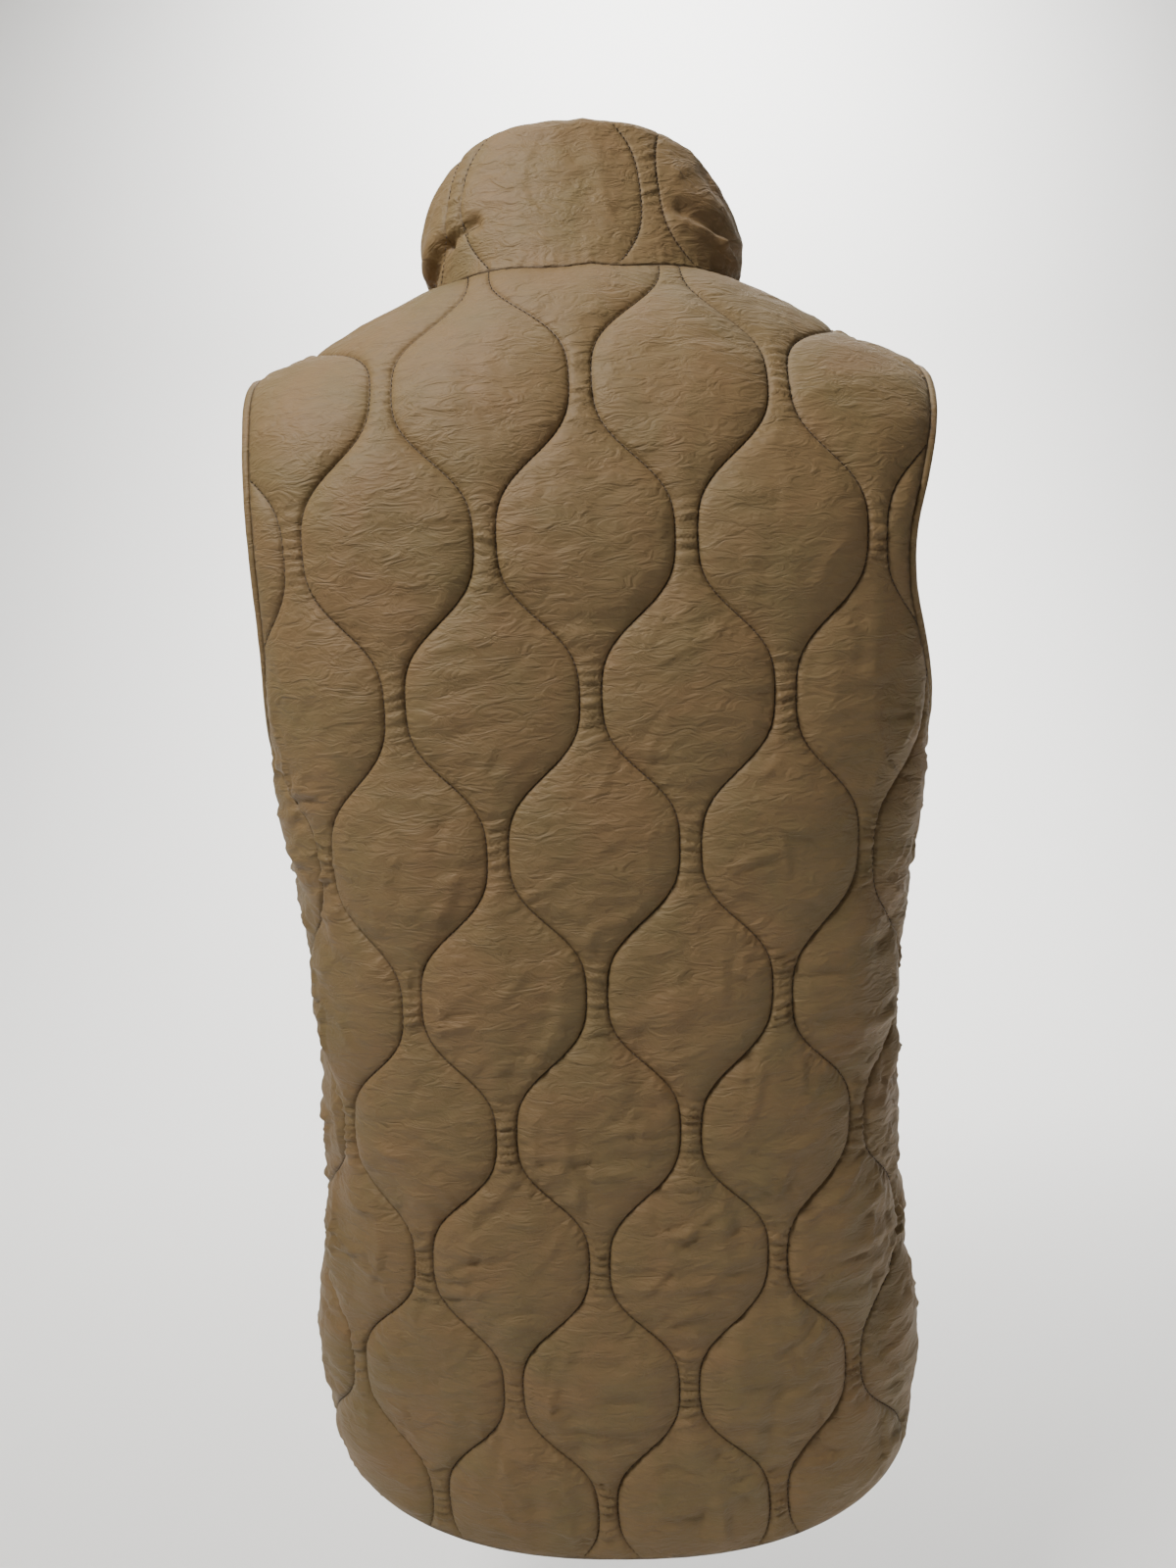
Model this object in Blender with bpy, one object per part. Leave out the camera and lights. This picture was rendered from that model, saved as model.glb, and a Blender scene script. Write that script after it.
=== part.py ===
"""Quilted vest: sleeveless, with a stand collar and a zip front, in onion-quilted cloth.

The vest keeps the hollow shape that it has when worn. Metres, +Z up. The front faces -Y
and the wearer's left is +X. The origin is the middle of the neck opening, at the height
of the collar seam at centre back.

Every length below is in millimetres; put_mesh turns them into metres. A point of cloth
is named by u, its distance round the body from the centre line, and v, its distance
down the cloth. A surface turns (u, v) into a point in space, and a lift moves that
point out along the surface's normal.
"""

import math

import bmesh
import bpy
import numpy as np
from mathutils import Matrix, Vector
from mathutils.geometry import delaunay_2d_cdt
from mathutils.kdtree import KDTree

MM = 0.001


def table(columns, *rows):
    """A short table of sizes: one array for each named column."""
    return dict(zip(columns, np.array(rows, dtype=float).T))


# ---------------------------------------------------------------- sizes

# The worn body at a few heights. Depths run from the side seam's plane to the centre
# line. Turn is how far that level is twisted about the upright axis, in degrees, and
# sway is how far it has moved to the wearer's left.
LEVELS = table(
    ("height", "half_width", "back_depth", "front_depth", "squareness", "turn", "sway"),
    (-800, 180, 87, 104, 2.35, -3.6, -5),
    (-640, 190, 100, 107, 2.4, -3.3, 0),
    (-500, 176, 110, 112, 2.8, -1.7, 0),
    (-380, 178, 118, 116, 3.0, -0.6, 0),
    (-260, 196, 125, 121, 3.05, 0.0, 0),
    (-140, 218, 131, 122, 3.2, 0.0, 0),
    (-40, 240, 131, 117, 3.1, 0.0, 0),
    (80, 260, 129, 110, 3.0, 0.0, 0),
)
FRONT_ROUNDER = 0.25

# The shoulder: the height of its ridge at a distance from the neck's centre, and the
# drop over which the cloth rounds from that ridge to the upright back or front. In
# front the neck opening dips below the line of the ridge.
SHOULDER = table(
    ("across", "ridge", "back_drop", "front_drop"),
    (0, 41, 199, 220),
    (50, 27, 174, 205),
    (90, 4, 153, 170),
    (150, -25, 128, 140),
    (200, -42, 122, 125),
)
NECK_DIP = 62
NECK_DIP_POWER = 3
SHOULDER_LEVEL = -50
RIDGE_DEPTH = -10
CAP_SQUARENESS = 2.3
PAST_RIDGE = math.radians(25)

# The cloth height of the chest line, from which v is measured up and down.
CHEST_HEIGHT = -260
CHEST_DOWN = 269.6

# Cut lines, as cloth distances.
SEAM_GAP = 0.3
NECK_HALF_WIDTH = 90
NECK_BACK = 85
NECK_FRONT = 86
NECK_SQUARENESS = 2.2
SHOULDER_TIP = 190
UNDERARM_DOWN = 308
HEM_DOWN = 759
HEM_RISE = 54
HEM_CURVE = 2.5
FRONT_HEM_DROP = 30
FRONT_EDGE = 4.0
ARMHOLE_BACK = table(
    ("down", "across"),
    (58, 192), (92, 189), (125, 187), (155, 186), (185, 188), (215, 194), (245, 206),
    (270, 221), (290, 239), (303, 256),
)
ARMHOLE_FRONT = table(
    ("down", "across"),
    (58, 178), (92, 168), (125, 162), (155, 160), (185, 162), (215, 169), (245, 181),
    (270, 197), (290, 218), (303, 240),
)
# How far the worn armhole's back edge is pulled in towards the middle on each side.
ARMHOLE_PULL = {"left": -5, "right": 20}
PULL_AT = 170
PULL_REACH = 62

# Cloth and quilting. The pattern's wavy lines come in pairs that pinch to a narrow neck
# and open round a wide onion-shaped cell. Necks are one pitch apart, and each row of
# necks is half a pitch aside of the row above. QUILTING gives, for each piece, the
# place of one neck across and down, the pitch, and the height of one repeat. The padding
# lies flatter where the cloth is drawn over the shoulders.
WALL = 1.8
NECK_GAP = 11.5
WAVE_FLATNESS = 0.09
PUFF = 7.5
PUFF_SOFTNESS = 11
SHOULDER_PUFF = 0.55
SHOULDER_PUFF_FROM = -20
SHOULDER_PUFF_REACH = 140
EDGE_SOFTNESS = 8
HEM_PADDING = 1.5
SIDE_DROP = 11
SIDE_DROP_AT = 155
SIDE_DROP_DOWN = 395
SIDE_DROP_REACH = 150
QUILTING = table(
    ("back", "front", "collar"),
    (9, 26, 82),
    (75.6, 75.6, -46),
    (103, 103, 121),
    (162.5, 162.5, 200),
)

# Collar: heights of its top edge above the collar seam's level. The tilt is how much
# higher the left side stands than the mean, and how much lower the right.
COLLAR_TOP_BACK = 82
COLLAR_TOP_SIDE = 60
COLLAR_TOP_FRONT = 22
COLLAR_TILT = 4
COLLAR_TOP_HALF_WIDTH = 74
COLLAR_SHIFT = 1.5
COLLAR_TOP_DEPTH_BACK = 62
COLLAR_TOP_DEPTH_FRONT = 86
COLLAR_TOP_SQUARENESS = 2.2
COLLAR_BEND = 9
COLLAR_SIDE_BEND = 5
COLLAR_RISE = 29
COLLAR_BULGE = 6
COLLAR_SIDE_BULGE = 35.5
COLLAR_PUFF = 5.0
COLLAR_PAD = 3.0
COLLAR_PAD_START = 16
COLLAR_ROLL = 6.0
COLLAR_EDGE = 1.2

# Folds in the outer cloth: a line from one place to another, with a depth and a width.
# A positive depth is a ridge.
FOLD_COLUMNS = ("u0", "v0", "u1", "v1", "depth", "width")
COLLAR_FOLDS = table(
    FOLD_COLUMNS,
    (128, -3, 90, -22, -5.5, 6),
    (90, -22, 68, -25, -3.0, 5),
    (126, -16, 88, -36, 3.0, 9),
    (-124, -4, -84, -18, 2.6, 6),
    (-84, -18, -52, -26, 2.2, 6),
    (-120, -14, -58, -34, -3.2, 7),
    (-112, -34, -82, -58, -2.0, 8),
    (112, -40, 92, -66, -2.0, 8),
)
BACK_FOLDS = table(
    FOLD_COLUMNS,
    (218, 330, 150, 392, -2.6, 9),
    (226, 362, 172, 446, 2.2, 10),
    (-222, 332, -158, 386, -2.4, 9),
    (-226, 372, -176, 452, 2.2, 10),
    (190, 470, 160, 610, -2.2, 12),
    (-188, 490, -166, 640, -2.2, 12),
)
FRONT_FOLDS = table(
    FOLD_COLUMNS,
    (196, 322, 132, 372, -2.6, 9),
    (206, 356, 150, 430, 2.2, 10),
    (176, 470, 150, 620, -2.2, 12),
    (96, 520, 88, 680, -1.8, 12),
)

# Armhole band and zip.
BAND_WIDTH = 5.0
BAND_TOP = 0.7
BAND_BOTTOM = -2.1
TAPE_INNER = 0.3
TAPE_WIDTH = 12.5
TAPE_TOP = -2.6
TAPE_THICKNESS = 0.8
CHAIN_HALF_WIDTH = 2.8
CHAIN_TOP = 0.6
CHAIN_BOTTOM = -2.3
ZIP_FOOT = 6
ZIP_HEAD = 7
BOX_HALF_WIDTH = 3.5
BOX_LENGTH = 11
BOX_TOP = 1.4
SLIDER_HALF_WIDTH = 4.2
SLIDER_FOOT_HALF_WIDTH = 3.2
SLIDER_LENGTH = 11
SLIDER_THICKNESS = 1.4
BRIDGE_HALF_WIDTH = 1.2
BRIDGE_HALF_LENGTH = 4.4
BRIDGE_HEIGHT = 3.5
BRIDGE_WALL = 1.0
PIVOT_HEIGHT = 1.35
PULL_HALF_WIDTH = 3.4
PULL_EYE_HALF_WIDTH = 1.9
PULL_LENGTH = 26
PULL_EYE_LENGTH = 6.5
PULL_BAR = 0.7
PULL_THICKNESS = 1.2

# How finely the surfaces are tabulated and searched: first, last and step, or a count.
BODY_U = (-300.0, 300.1, 7.5)
BODY_V = (-90.0, 800.1, 4.0)
BODY_HEIGHTS = (80, -800, 221)
CAP_ANGLES = 90
STRAIGHT_HEIGHTS = 200
RIDGE_ROUNDS = 8
RING_ANGLES = 241
SHOULDER_SEARCH = (-85, 60, 1.0)
RIDGE_SEARCH = (60, 230, 171)
NECK_POINTS = 60
NECK_GUESS = -10.0
LOCATE_ROUNDS = 12
LOCATE_LIMIT = 15
COLLAR_U_COUNT = 121
COLLAR_V = (-120.0, 0.1, 3.0)
COLLAR_PAST_END = 15
COLLAR_SEARCH = (-115, -40, 0.25)
LINE_REACH = 290
LINE_DOWN = (-60, 790)
COLLAR_LINE_DOWN = (-120, 10)

# Mesh steps.
OUTER_STEP = 13.5
NECK_STEP = 8
LINE_STEP = 11.5
COLLAR_STEP = 9
INNER_STEP = 32
ZIP_INNER_ROW = 17
STRIP_STEP = 13
BEND_STEP = 6
BEND_REACH = 40
SHORTEST_LINE = 14
SMALLEST_STEP = 5
ROLL_ROW = 1.6
SHARP_ANGLE = math.radians(40)

# Colours, as red, green and blue from 0 to 1 in linear light.
NYLON_COLOUR = (0.168, 0.108, 0.048)
TAPE_COLOUR = (0.105, 0.070, 0.036)
METAL_COLOUR = (0.130, 0.105, 0.075)


# ---------------------------------------------------------------- curves

def curve_through(knots, values, x):
    """A smooth curve through a few values, held level past both ends."""
    slopes = np.gradient(values, knots)
    x = np.clip(x, knots[0], knots[-1])
    i = np.clip(np.searchsorted(knots, x) - 1, 0, len(knots) - 2)
    step = knots[i + 1] - knots[i]
    t = (x - knots[i]) / step
    start = values[i] * (1 + 2 * t) * (1 - t) ** 2
    end = values[i + 1] * t ** 2 * (3 - 2 * t)
    leave = slopes[i] * step * t * (1 - t) ** 2
    arrive = slopes[i + 1] * step * t ** 2 * (t - 1)
    return start + end + leave + arrive


def running_length(path):
    """Distance along a path at each of its points."""
    steps = np.linalg.norm(np.diff(path, axis=0), axis=1)
    return np.concatenate([[0.0], np.cumsum(steps)])


def along(path, distances):
    """Points of a path at the given distances along it."""
    length = running_length(path)
    return np.stack([np.interp(distances, length, column) for column in path.T], axis=1)


def smooth_path(points, spacing=1.0):
    """A close row of points on a smooth curve through a few given ones."""
    length = running_length(points)
    fine = np.linspace(0, length[-1], int(length[-1] / spacing) + 2)
    return np.stack([curve_through(length, column, fine) for column in points.T], axis=1)


def unit(vectors):
    """The same directions with a length of 1."""
    size = np.linalg.norm(vectors, axis=-1, keepdims=True)
    return vectors / np.maximum(size, 1e-9)


# ---------------------------------------------------------------- surfaces

class Surface:
    """A worn surface, tabulated over cloth coordinates u (across) and v (down)."""

    def __init__(self, u, v, points, facing, local_depth=None):
        self.u = u
        self.v = v
        self.points = points
        self.local_depth = local_depth
        across = np.gradient(points, u, axis=1)
        down = np.gradient(points, v, axis=0)
        self.normals = unit(np.cross(across, down) * facing)

    def blend(self, grid, u, v):
        """Value of a grid at cloth coordinates, between its nearest entries."""
        across = np.clip((u - self.u[0]) / (self.u[1] - self.u[0]), 0, len(self.u) - 1.001)
        down = np.clip((v - self.v[0]) / (self.v[1] - self.v[0]), 0, len(self.v) - 1.001)
        i = across.astype(int)
        j = down.astype(int)
        a = (across - i)[..., None]
        b = (down - j)[..., None]
        upper = grid[j, i] * (1 - a) + grid[j, i + 1] * a
        lower = grid[j + 1, i] * (1 - a) + grid[j + 1, i + 1] * a
        return upper * (1 - b) + lower * b

    def at(self, u, v, lift=0.0):
        """Points at cloth coordinates, moved out along the normal by lift."""
        u, v, lift = np.broadcast_arrays(*(np.asarray(k, dtype=float) for k in (u, v, lift)))
        return self.blend(self.points, u, v) + self.normal(u, v) * lift[..., None]

    def normal(self, u, v):
        """Outward normals at cloth coordinates."""
        return unit(self.blend(self.normals, np.asarray(u, float), np.asarray(v, float)))

    def locate(self, x, y, u, v):
        """Cloth coordinates of points given in plan, found from a first guess."""
        limit = LOCATE_LIMIT
        for _ in range(LOCATE_ROUNDS):
            here = self.at(u, v)
            by_u = (self.at(u + 1, v) - here)[:, :2]
            by_v = (self.at(u, v + 1) - here)[:, :2]
            miss_x = x - here[:, 0]
            miss_y = y - here[:, 1]
            area = by_u[:, 0] * by_v[:, 1] - by_v[:, 0] * by_u[:, 1]
            u = u + np.clip((miss_x * by_v[:, 1] - miss_y * by_v[:, 0]) / area, -limit, limit)
            v = v + np.clip((miss_y * by_u[:, 0] - miss_x * by_u[:, 1]) / area, -limit, limit)
        return u, v


def level(name, height):
    """One column of the body's levels at any height."""
    return curve_through(LEVELS["height"], LEVELS[name], height)


def turned(points):
    """Points of the straight body, twisted and moved aside by the size at their height."""
    angle = np.radians(level("turn", points[..., 2]))
    x = points[..., 0] * np.cos(angle) - points[..., 1] * np.sin(angle)
    x = x + level("sway", points[..., 2])
    y = points[..., 0] * np.sin(angle) + points[..., 1] * np.cos(angle)
    return np.stack([x, y, points[..., 2]], axis=-1)


def half_ring(height, side):
    """One half of the body's outline at a height, from the centre line of one side."""
    near, far = ("back_depth", "front_depth") if side > 0 else ("front_depth", "back_depth")
    square = level("squareness", height) - np.array([0, FRONT_ROUNDER])
    if side < 0:
        square = square[::-1]
    angle = np.linspace(0, math.pi, RING_ANGLES)
    power = np.where(angle < math.pi / 2, 2 / square[0], 2 / square[1])
    depth = np.where(angle < math.pi / 2, level(near, height), level(far, height))
    x = level("half_width", height) * np.abs(np.sin(angle)) ** power
    y = side * depth * np.sign(np.cos(angle)) * np.abs(np.cos(angle)) ** power
    return np.stack([x, y], axis=1)


def ridge_height(across, side):
    """Height of the shoulder ridge at a distance from the centre."""
    height = curve_through(SHOULDER["across"], SHOULDER["ridge"], across)
    if side < 0:
        height = height - NECK_DIP * max(1 - (across / NECK_HALF_WIDTH) ** NECK_DIP_POWER, 0) ** 2
    return height


def body_surface(side):
    """The worn back (side 1) or front (side -1), from its hem over the shoulder ridge."""
    u = np.arange(*BODY_U)
    v = np.arange(*BODY_V)
    heights = np.linspace(*BODY_HEIGHTS)
    rings = []
    for height in heights:
        ring = half_ring(height, side)
        distance = running_length(ring)
        x = np.sign(u) * np.interp(np.abs(u), distance, ring[:, 0])
        y = np.interp(np.abs(u), distance, ring[:, 1])
        rings.append(np.stack([x, y], axis=1))
    rings = np.array(rings)

    drops = SHOULDER["back_drop"] if side > 0 else SHOULDER["front_drop"]
    angle = np.linspace(math.pi / 2 + PAST_RIDGE, 0, CAP_ANGLES)
    risen = np.abs(np.sin(angle)) ** (2 / CAP_SQUARENESS)
    spread = np.sign(np.cos(angle)) * np.abs(np.cos(angle)) ** (2 / CAP_SQUARENESS)
    columns = []
    for k in range(len(u)):
        ridge = SHOULDER_LEVEL
        for _ in range(RIDGE_ROUNDS):
            across = abs(np.interp(-ridge, -heights, rings[:, k, 0]))
            ridge = ridge_height(across, side)
        drop = curve_through(SHOULDER["across"], drops, across)
        cap = ridge - drop * (1 - risen)
        straight = np.linspace(ridge - drop, heights[-1], STRAIGHT_HEIGHTS)[1:]
        height = np.concatenate([cap, straight])
        open_out = np.concatenate([spread, np.ones(len(straight))])
        x = np.interp(-height, -heights, rings[:, k, 0])
        y = np.interp(-height, -heights, rings[:, k, 1])
        y = RIDGE_DEPTH + (y - RIDGE_DEPTH) * open_out
        column = np.stack([x, y, height], axis=1)
        distance = running_length(column)
        top = int(np.argmax(height))
        chest = np.interp(-CHEST_HEIGHT, -height[top:], distance[top:])
        columns.append(along(column, v - CHEST_DOWN + chest))
    points = np.stack(columns, axis=1)
    return Surface(u, v, turned(points), side, local_depth=points[..., 1] * side)


def side_seam(surface, v):
    """Distance round the body to the side seam at cloth heights v."""
    rows = [np.interp(0, -row[len(row) // 2:], surface.u[len(row) // 2:])
            for row in surface.local_depth]
    return np.interp(v, surface.v, rows)


def shoulder_seam(surface, u, side):
    """Cloth height of the shoulder seam at distances u, just on this side of the ridge."""
    depth = RIDGE_DEPTH + side * SEAM_GAP / 2
    tries = np.arange(*SHOULDER_SEARCH)[:, None]
    y = surface.at(np.broadcast_to(u, (len(tries), len(u))), tries)[..., 1] * side
    return np.array([np.interp(depth * side, column, tries[:, 0]) for column in y.T])


def neck_plan(angle):
    """The neck opening in plan, by the angle round it from centre back."""
    power = 2 / NECK_SQUARENESS
    depth = np.where(np.cos(angle) > 0, NECK_BACK, NECK_FRONT)
    x = NECK_HALF_WIDTH * np.sign(np.sin(angle)) * np.abs(np.sin(angle)) ** power
    y = depth * np.sign(np.cos(angle)) * np.abs(np.cos(angle)) ** power
    return x, y


# The angle at which the neck opening meets the shoulder ridge.
NECK_SHOULDER_ANGLE = math.pi / 2 + math.asin((-RIDGE_DEPTH / NECK_FRONT) ** (NECK_SQUARENESS / 2))


# ---------------------------------------------------------------- quilting

def wave(angle):
    """The stitched wave, from 1 to -1: rounder than a sine at its crests."""
    return (np.cos(angle) - WAVE_FLATNESS * np.cos(3 * angle)) / (1 - WAVE_FLATNESS)


def side_sag(u, v):
    """How far the quilted rows hang lower towards the side seams, below the armholes."""
    reach = np.exp(-((v - SIDE_DROP_DOWN) / SIDE_DROP_REACH) ** 2)
    return SIDE_DROP * (u / SIDE_DROP_AT) ** 2 * reach


def stitch_lines(piece, reach, down, sag=True):
    """Every stitched line of a piece, as close rows of cloth coordinates."""
    neck_u, neck_v, pitch, repeat = QUILTING[piece]
    v = np.arange(down[0], down[1], 1.0)
    swing = pitch / 4 - NECK_GAP / 2
    lines = []
    for number in range(-14, 15):
        middle = neck_u + (number + 0.5) * pitch / 2
        if abs(middle) > reach + pitch / 4:
            continue
        shift = side_sag(middle, v) if sag else 0.0
        phase = 2 * math.pi * (v - shift - neck_v) / repeat
        sense = -1 if number % 2 == 0 else 1
        lines.append(np.stack([middle + sense * swing * wave(phase), v], axis=1))
    return lines


def fold_lift(folds, u, v):
    """Rise or fall of the outer cloth where it folds."""
    lift = np.zeros(len(u))
    for u0, v0, u1, v1, depth, width in zip(*(folds[name] for name in FOLD_COLUMNS)):
        run = np.array([u1 - u0, v1 - v0])
        t = np.clip(((u - u0) * run[0] + (v - v0) * run[1]) / (run @ run), 0, 1)
        away = np.hypot(u - u0 - t * run[0], v - v0 - t * run[1])
        lift += depth * np.exp(-(away / width) ** 2)
    return lift


def nearest_distance(rows, u, v):
    """Distance from each cloth point to the nearest point of some rows of points."""
    places = np.concatenate(rows)
    tree = KDTree(len(places))
    for number, (a, b) in enumerate(places):
        tree.insert((a, b, 0), number)
    tree.balance()
    return np.array([tree.find((a, b, 0))[2] for a, b in zip(u, v)])


# ---------------------------------------------------------------- cut pieces

class Edge:
    """One stretch of a piece's outline: its path, its mesh step, and the padding left there."""

    def __init__(self, path, step, keeps=0.0):
        self.path = path
        self.step = step
        self.keeps = keeps

    def flipped(self):
        """The same stretch on the other side of the body."""
        return Edge(self.path * np.array([-1, 1]), self.step, self.keeps)

    def reversed(self):
        """The same stretch, run the other way."""
        return Edge(self.path[::-1], self.step, self.keeps)


def straight_edge(start, end, step):
    """A straight stretch of outline."""
    count = max(int(math.dist(start, end)), 2)
    return Edge(np.linspace(start, end, count), step)


def half_outline(surface, side, pull=0.0):
    """One half of the back or a front: hem, side seam, armhole, shoulder, neckline."""
    half_gap = SEAM_GAP / 2
    inner = 0.0 if side > 0 else FRONT_EDGE
    side_down = HEM_DOWN - HEM_RISE
    side_u = float(side_seam(surface, side_down)) - half_gap
    u = np.linspace(inner, side_u, 200)
    deepest = HEM_DOWN if side > 0 else side_down + FRONT_HEM_DROP
    hem = np.stack([u, deepest - (deepest - side_down) * (u / side_u) ** HEM_CURVE], axis=1)

    v = np.linspace(side_down, UNDERARM_DOWN, 300)
    seam = np.stack([side_seam(surface, v) - half_gap, v], axis=1)

    ridge_u = np.linspace(*RIDGE_SEARCH)
    ridge_v = shoulder_seam(surface, ridge_u, side)
    ridge_x = surface.at(ridge_u, ridge_v)[:, 0]
    tip_u = float(np.interp(SHOULDER_TIP, ridge_x, ridge_u))
    tip = (tip_u, float(np.interp(tip_u, ridge_u, ridge_v)))
    rows = ARMHOLE_BACK if side > 0 else ARMHOLE_FRONT
    across, down = rows["across"][::-1], rows["down"][::-1]
    across = across - pull * np.exp(-((down - PULL_AT) / PULL_REACH) ** 2)
    armhole = smooth_path(np.array([tuple(seam[-1]), *zip(across, down), tip]))

    ends = (0, NECK_SHOULDER_ANGLE) if side > 0 else (NECK_SHOULDER_ANGLE, math.pi)
    x, y = neck_plan(np.linspace(*ends, NECK_POINTS))
    x = x * (1 + half_gap / NECK_HALF_WIDTH)
    y = y * (1 + half_gap / NECK_BACK)
    neck_u, neck_v = surface.locate(x, y, x.copy(), np.full(len(x), NECK_GUESS))
    if side < 0:
        neck_u, neck_v = neck_u[::-1], neck_v[::-1]
        kept = neck_u > FRONT_EDGE
        neck_u = np.concatenate([[FRONT_EDGE], neck_u[kept]])
        neck_v = np.concatenate([[neck_v[0]], neck_v[kept]])
    neckline = np.stack([neck_u, neck_v], axis=1)[::-1]

    shoulder_u = np.linspace(tip_u, neckline[0, 0], 80)
    shoulder_v = np.interp(shoulder_u, ridge_u, ridge_v)
    neckline[0] = (shoulder_u[-1], shoulder_v[-1])
    shoulder = np.stack([shoulder_u, shoulder_v], axis=1)
    return {
        "hem": Edge(hem, OUTER_STEP, keeps=HEM_PADDING),
        "side": Edge(seam, OUTER_STEP),
        "armhole": Edge(armhole, OUTER_STEP),
        "shoulder": Edge(shoulder, OUTER_STEP),
        "neckline": Edge(neckline, NECK_STEP),
    }


def inside(points, outline):
    """Which points lie inside a closed outline."""
    x, y = points[:, 0, None], points[:, 1, None]
    ax, ay = outline[:, 0], outline[:, 1]
    bx, by = np.roll(ax, -1), np.roll(ay, -1)
    level_crossed = (ay > y) != (by > y)
    rise = np.where(by == ay, 1e-9, by - ay)
    cross_at = ax + (y - ay) * (bx - ax) / rise
    return (np.sum(level_crossed & (x < cross_at), axis=1) % 2) == 1


def place_on(path, point):
    """Distance along a path to the place nearest to a point."""
    start, run = path[:-1], np.diff(path, axis=0)
    size = np.maximum(np.sum(run ** 2, axis=1), 1e-12)
    t = np.clip(np.sum((point - start) * run, axis=1) / size, 0, 1)
    away = np.linalg.norm(start + run * t[:, None] - point, axis=1)
    best = int(np.argmin(away))
    return running_length(path)[best] + t[best] * math.sqrt(size[best])


def cut_lines(lines, outline):
    """The stretches of the stitched lines that lie on the piece."""
    stretches = []
    for line in lines:
        on_piece = inside(line, outline)
        changes = np.flatnonzero(np.diff(on_piece.astype(int)))
        starts = [0] if on_piece[0] else []
        for change in changes:
            if on_piece[change + 1]:
                starts.append(change + 1)
            elif len(line[starts[-1]:change + 1]) > SHORTEST_LINE:
                stretches.append(line[starts[-1]:change + 1])
    return stretches


def spaced_outline(edges, stretches):
    """Points round a piece, with one at each corner and at each end of a line."""
    path = np.concatenate([edge.path[:-1] for edge in edges] + [edges[0].path[:1]])
    corners = np.cumsum([running_length(edge.path)[-1] for edge in edges])
    fixed = [0.0, *corners[:-1]]
    total = corners[-1]
    for stretch in stretches:
        for end in (stretch[0], stretch[-1]):
            place = place_on(path, end)
            gap = min(min(abs(place - k), total - abs(place - k)) for k in fixed)
            if gap > SMALLEST_STEP:
                fixed.append(place)
    fixed = sorted(fixed) + [total]
    places = []
    for start, end in zip(fixed[:-1], fixed[1:]):
        step = edges[np.searchsorted(corners, (start + end) / 2)].step
        count = max(round((end - start) / step), 1)
        places.extend(np.linspace(start, end, count, endpoint=False))
    return along(path, np.array(places))


def triangulate(outline, lines, loose):
    """Triangles inside an outline that keep it and every line as edges.

    Gives the points, the triangles, and where each outline point went.
    """
    points = [tuple(p) for p in outline]
    edges = []
    for line in lines:
        start = int(np.argmin(np.linalg.norm(outline - line[0], axis=1)))
        end = int(np.argmin(np.linalg.norm(outline - line[-1], axis=1)))
        inner = range(len(points), len(points) + len(line) - 2)
        points.extend(tuple(p) for p in line[1:-1])
        chain = [start, *inner, end]
        edges.extend(zip(chain[:-1], chain[1:]))
    points.extend(tuple(p) for p in loose)
    ring = list(range(len(outline)))
    found = delaunay_2d_cdt([Vector(p) for p in points], edges, [ring], 1, 1e-4)
    went = {}
    for new, olds in enumerate(found[3]):
        for old in olds:
            went[old] = new
    flat = np.array([tuple(p) for p in found[0]])
    return flat, found[2], [went[k] for k in ring]


def hex_grid(outline, spacing):
    """Points of a triangular grid that covers an outline's box."""
    low, high = outline.min(axis=0), outline.max(axis=0)
    rows = np.arange(low[1], high[1], spacing * math.sqrt(3) / 2)
    points = []
    for number, v in enumerate(rows):
        u = np.arange(low[0] + (number % 2) * spacing / 2, high[0], spacing)
        points.append(np.stack([u, np.full(len(u), v)], axis=1))
    return np.concatenate(points)


def clear_points(points, outline, rows, margin):
    """The points that lie inside an outline and keep clear of some rows of points."""
    points = points[inside(points, outline)]
    away = nearest_distance(rows, points[:, 0], points[:, 1])
    return points[away > margin]


def dense(path):
    """A path with a point for every few millimetres."""
    length = running_length(path)[-1]
    return along(path, np.linspace(0, length, int(length / 3) + 2))


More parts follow.
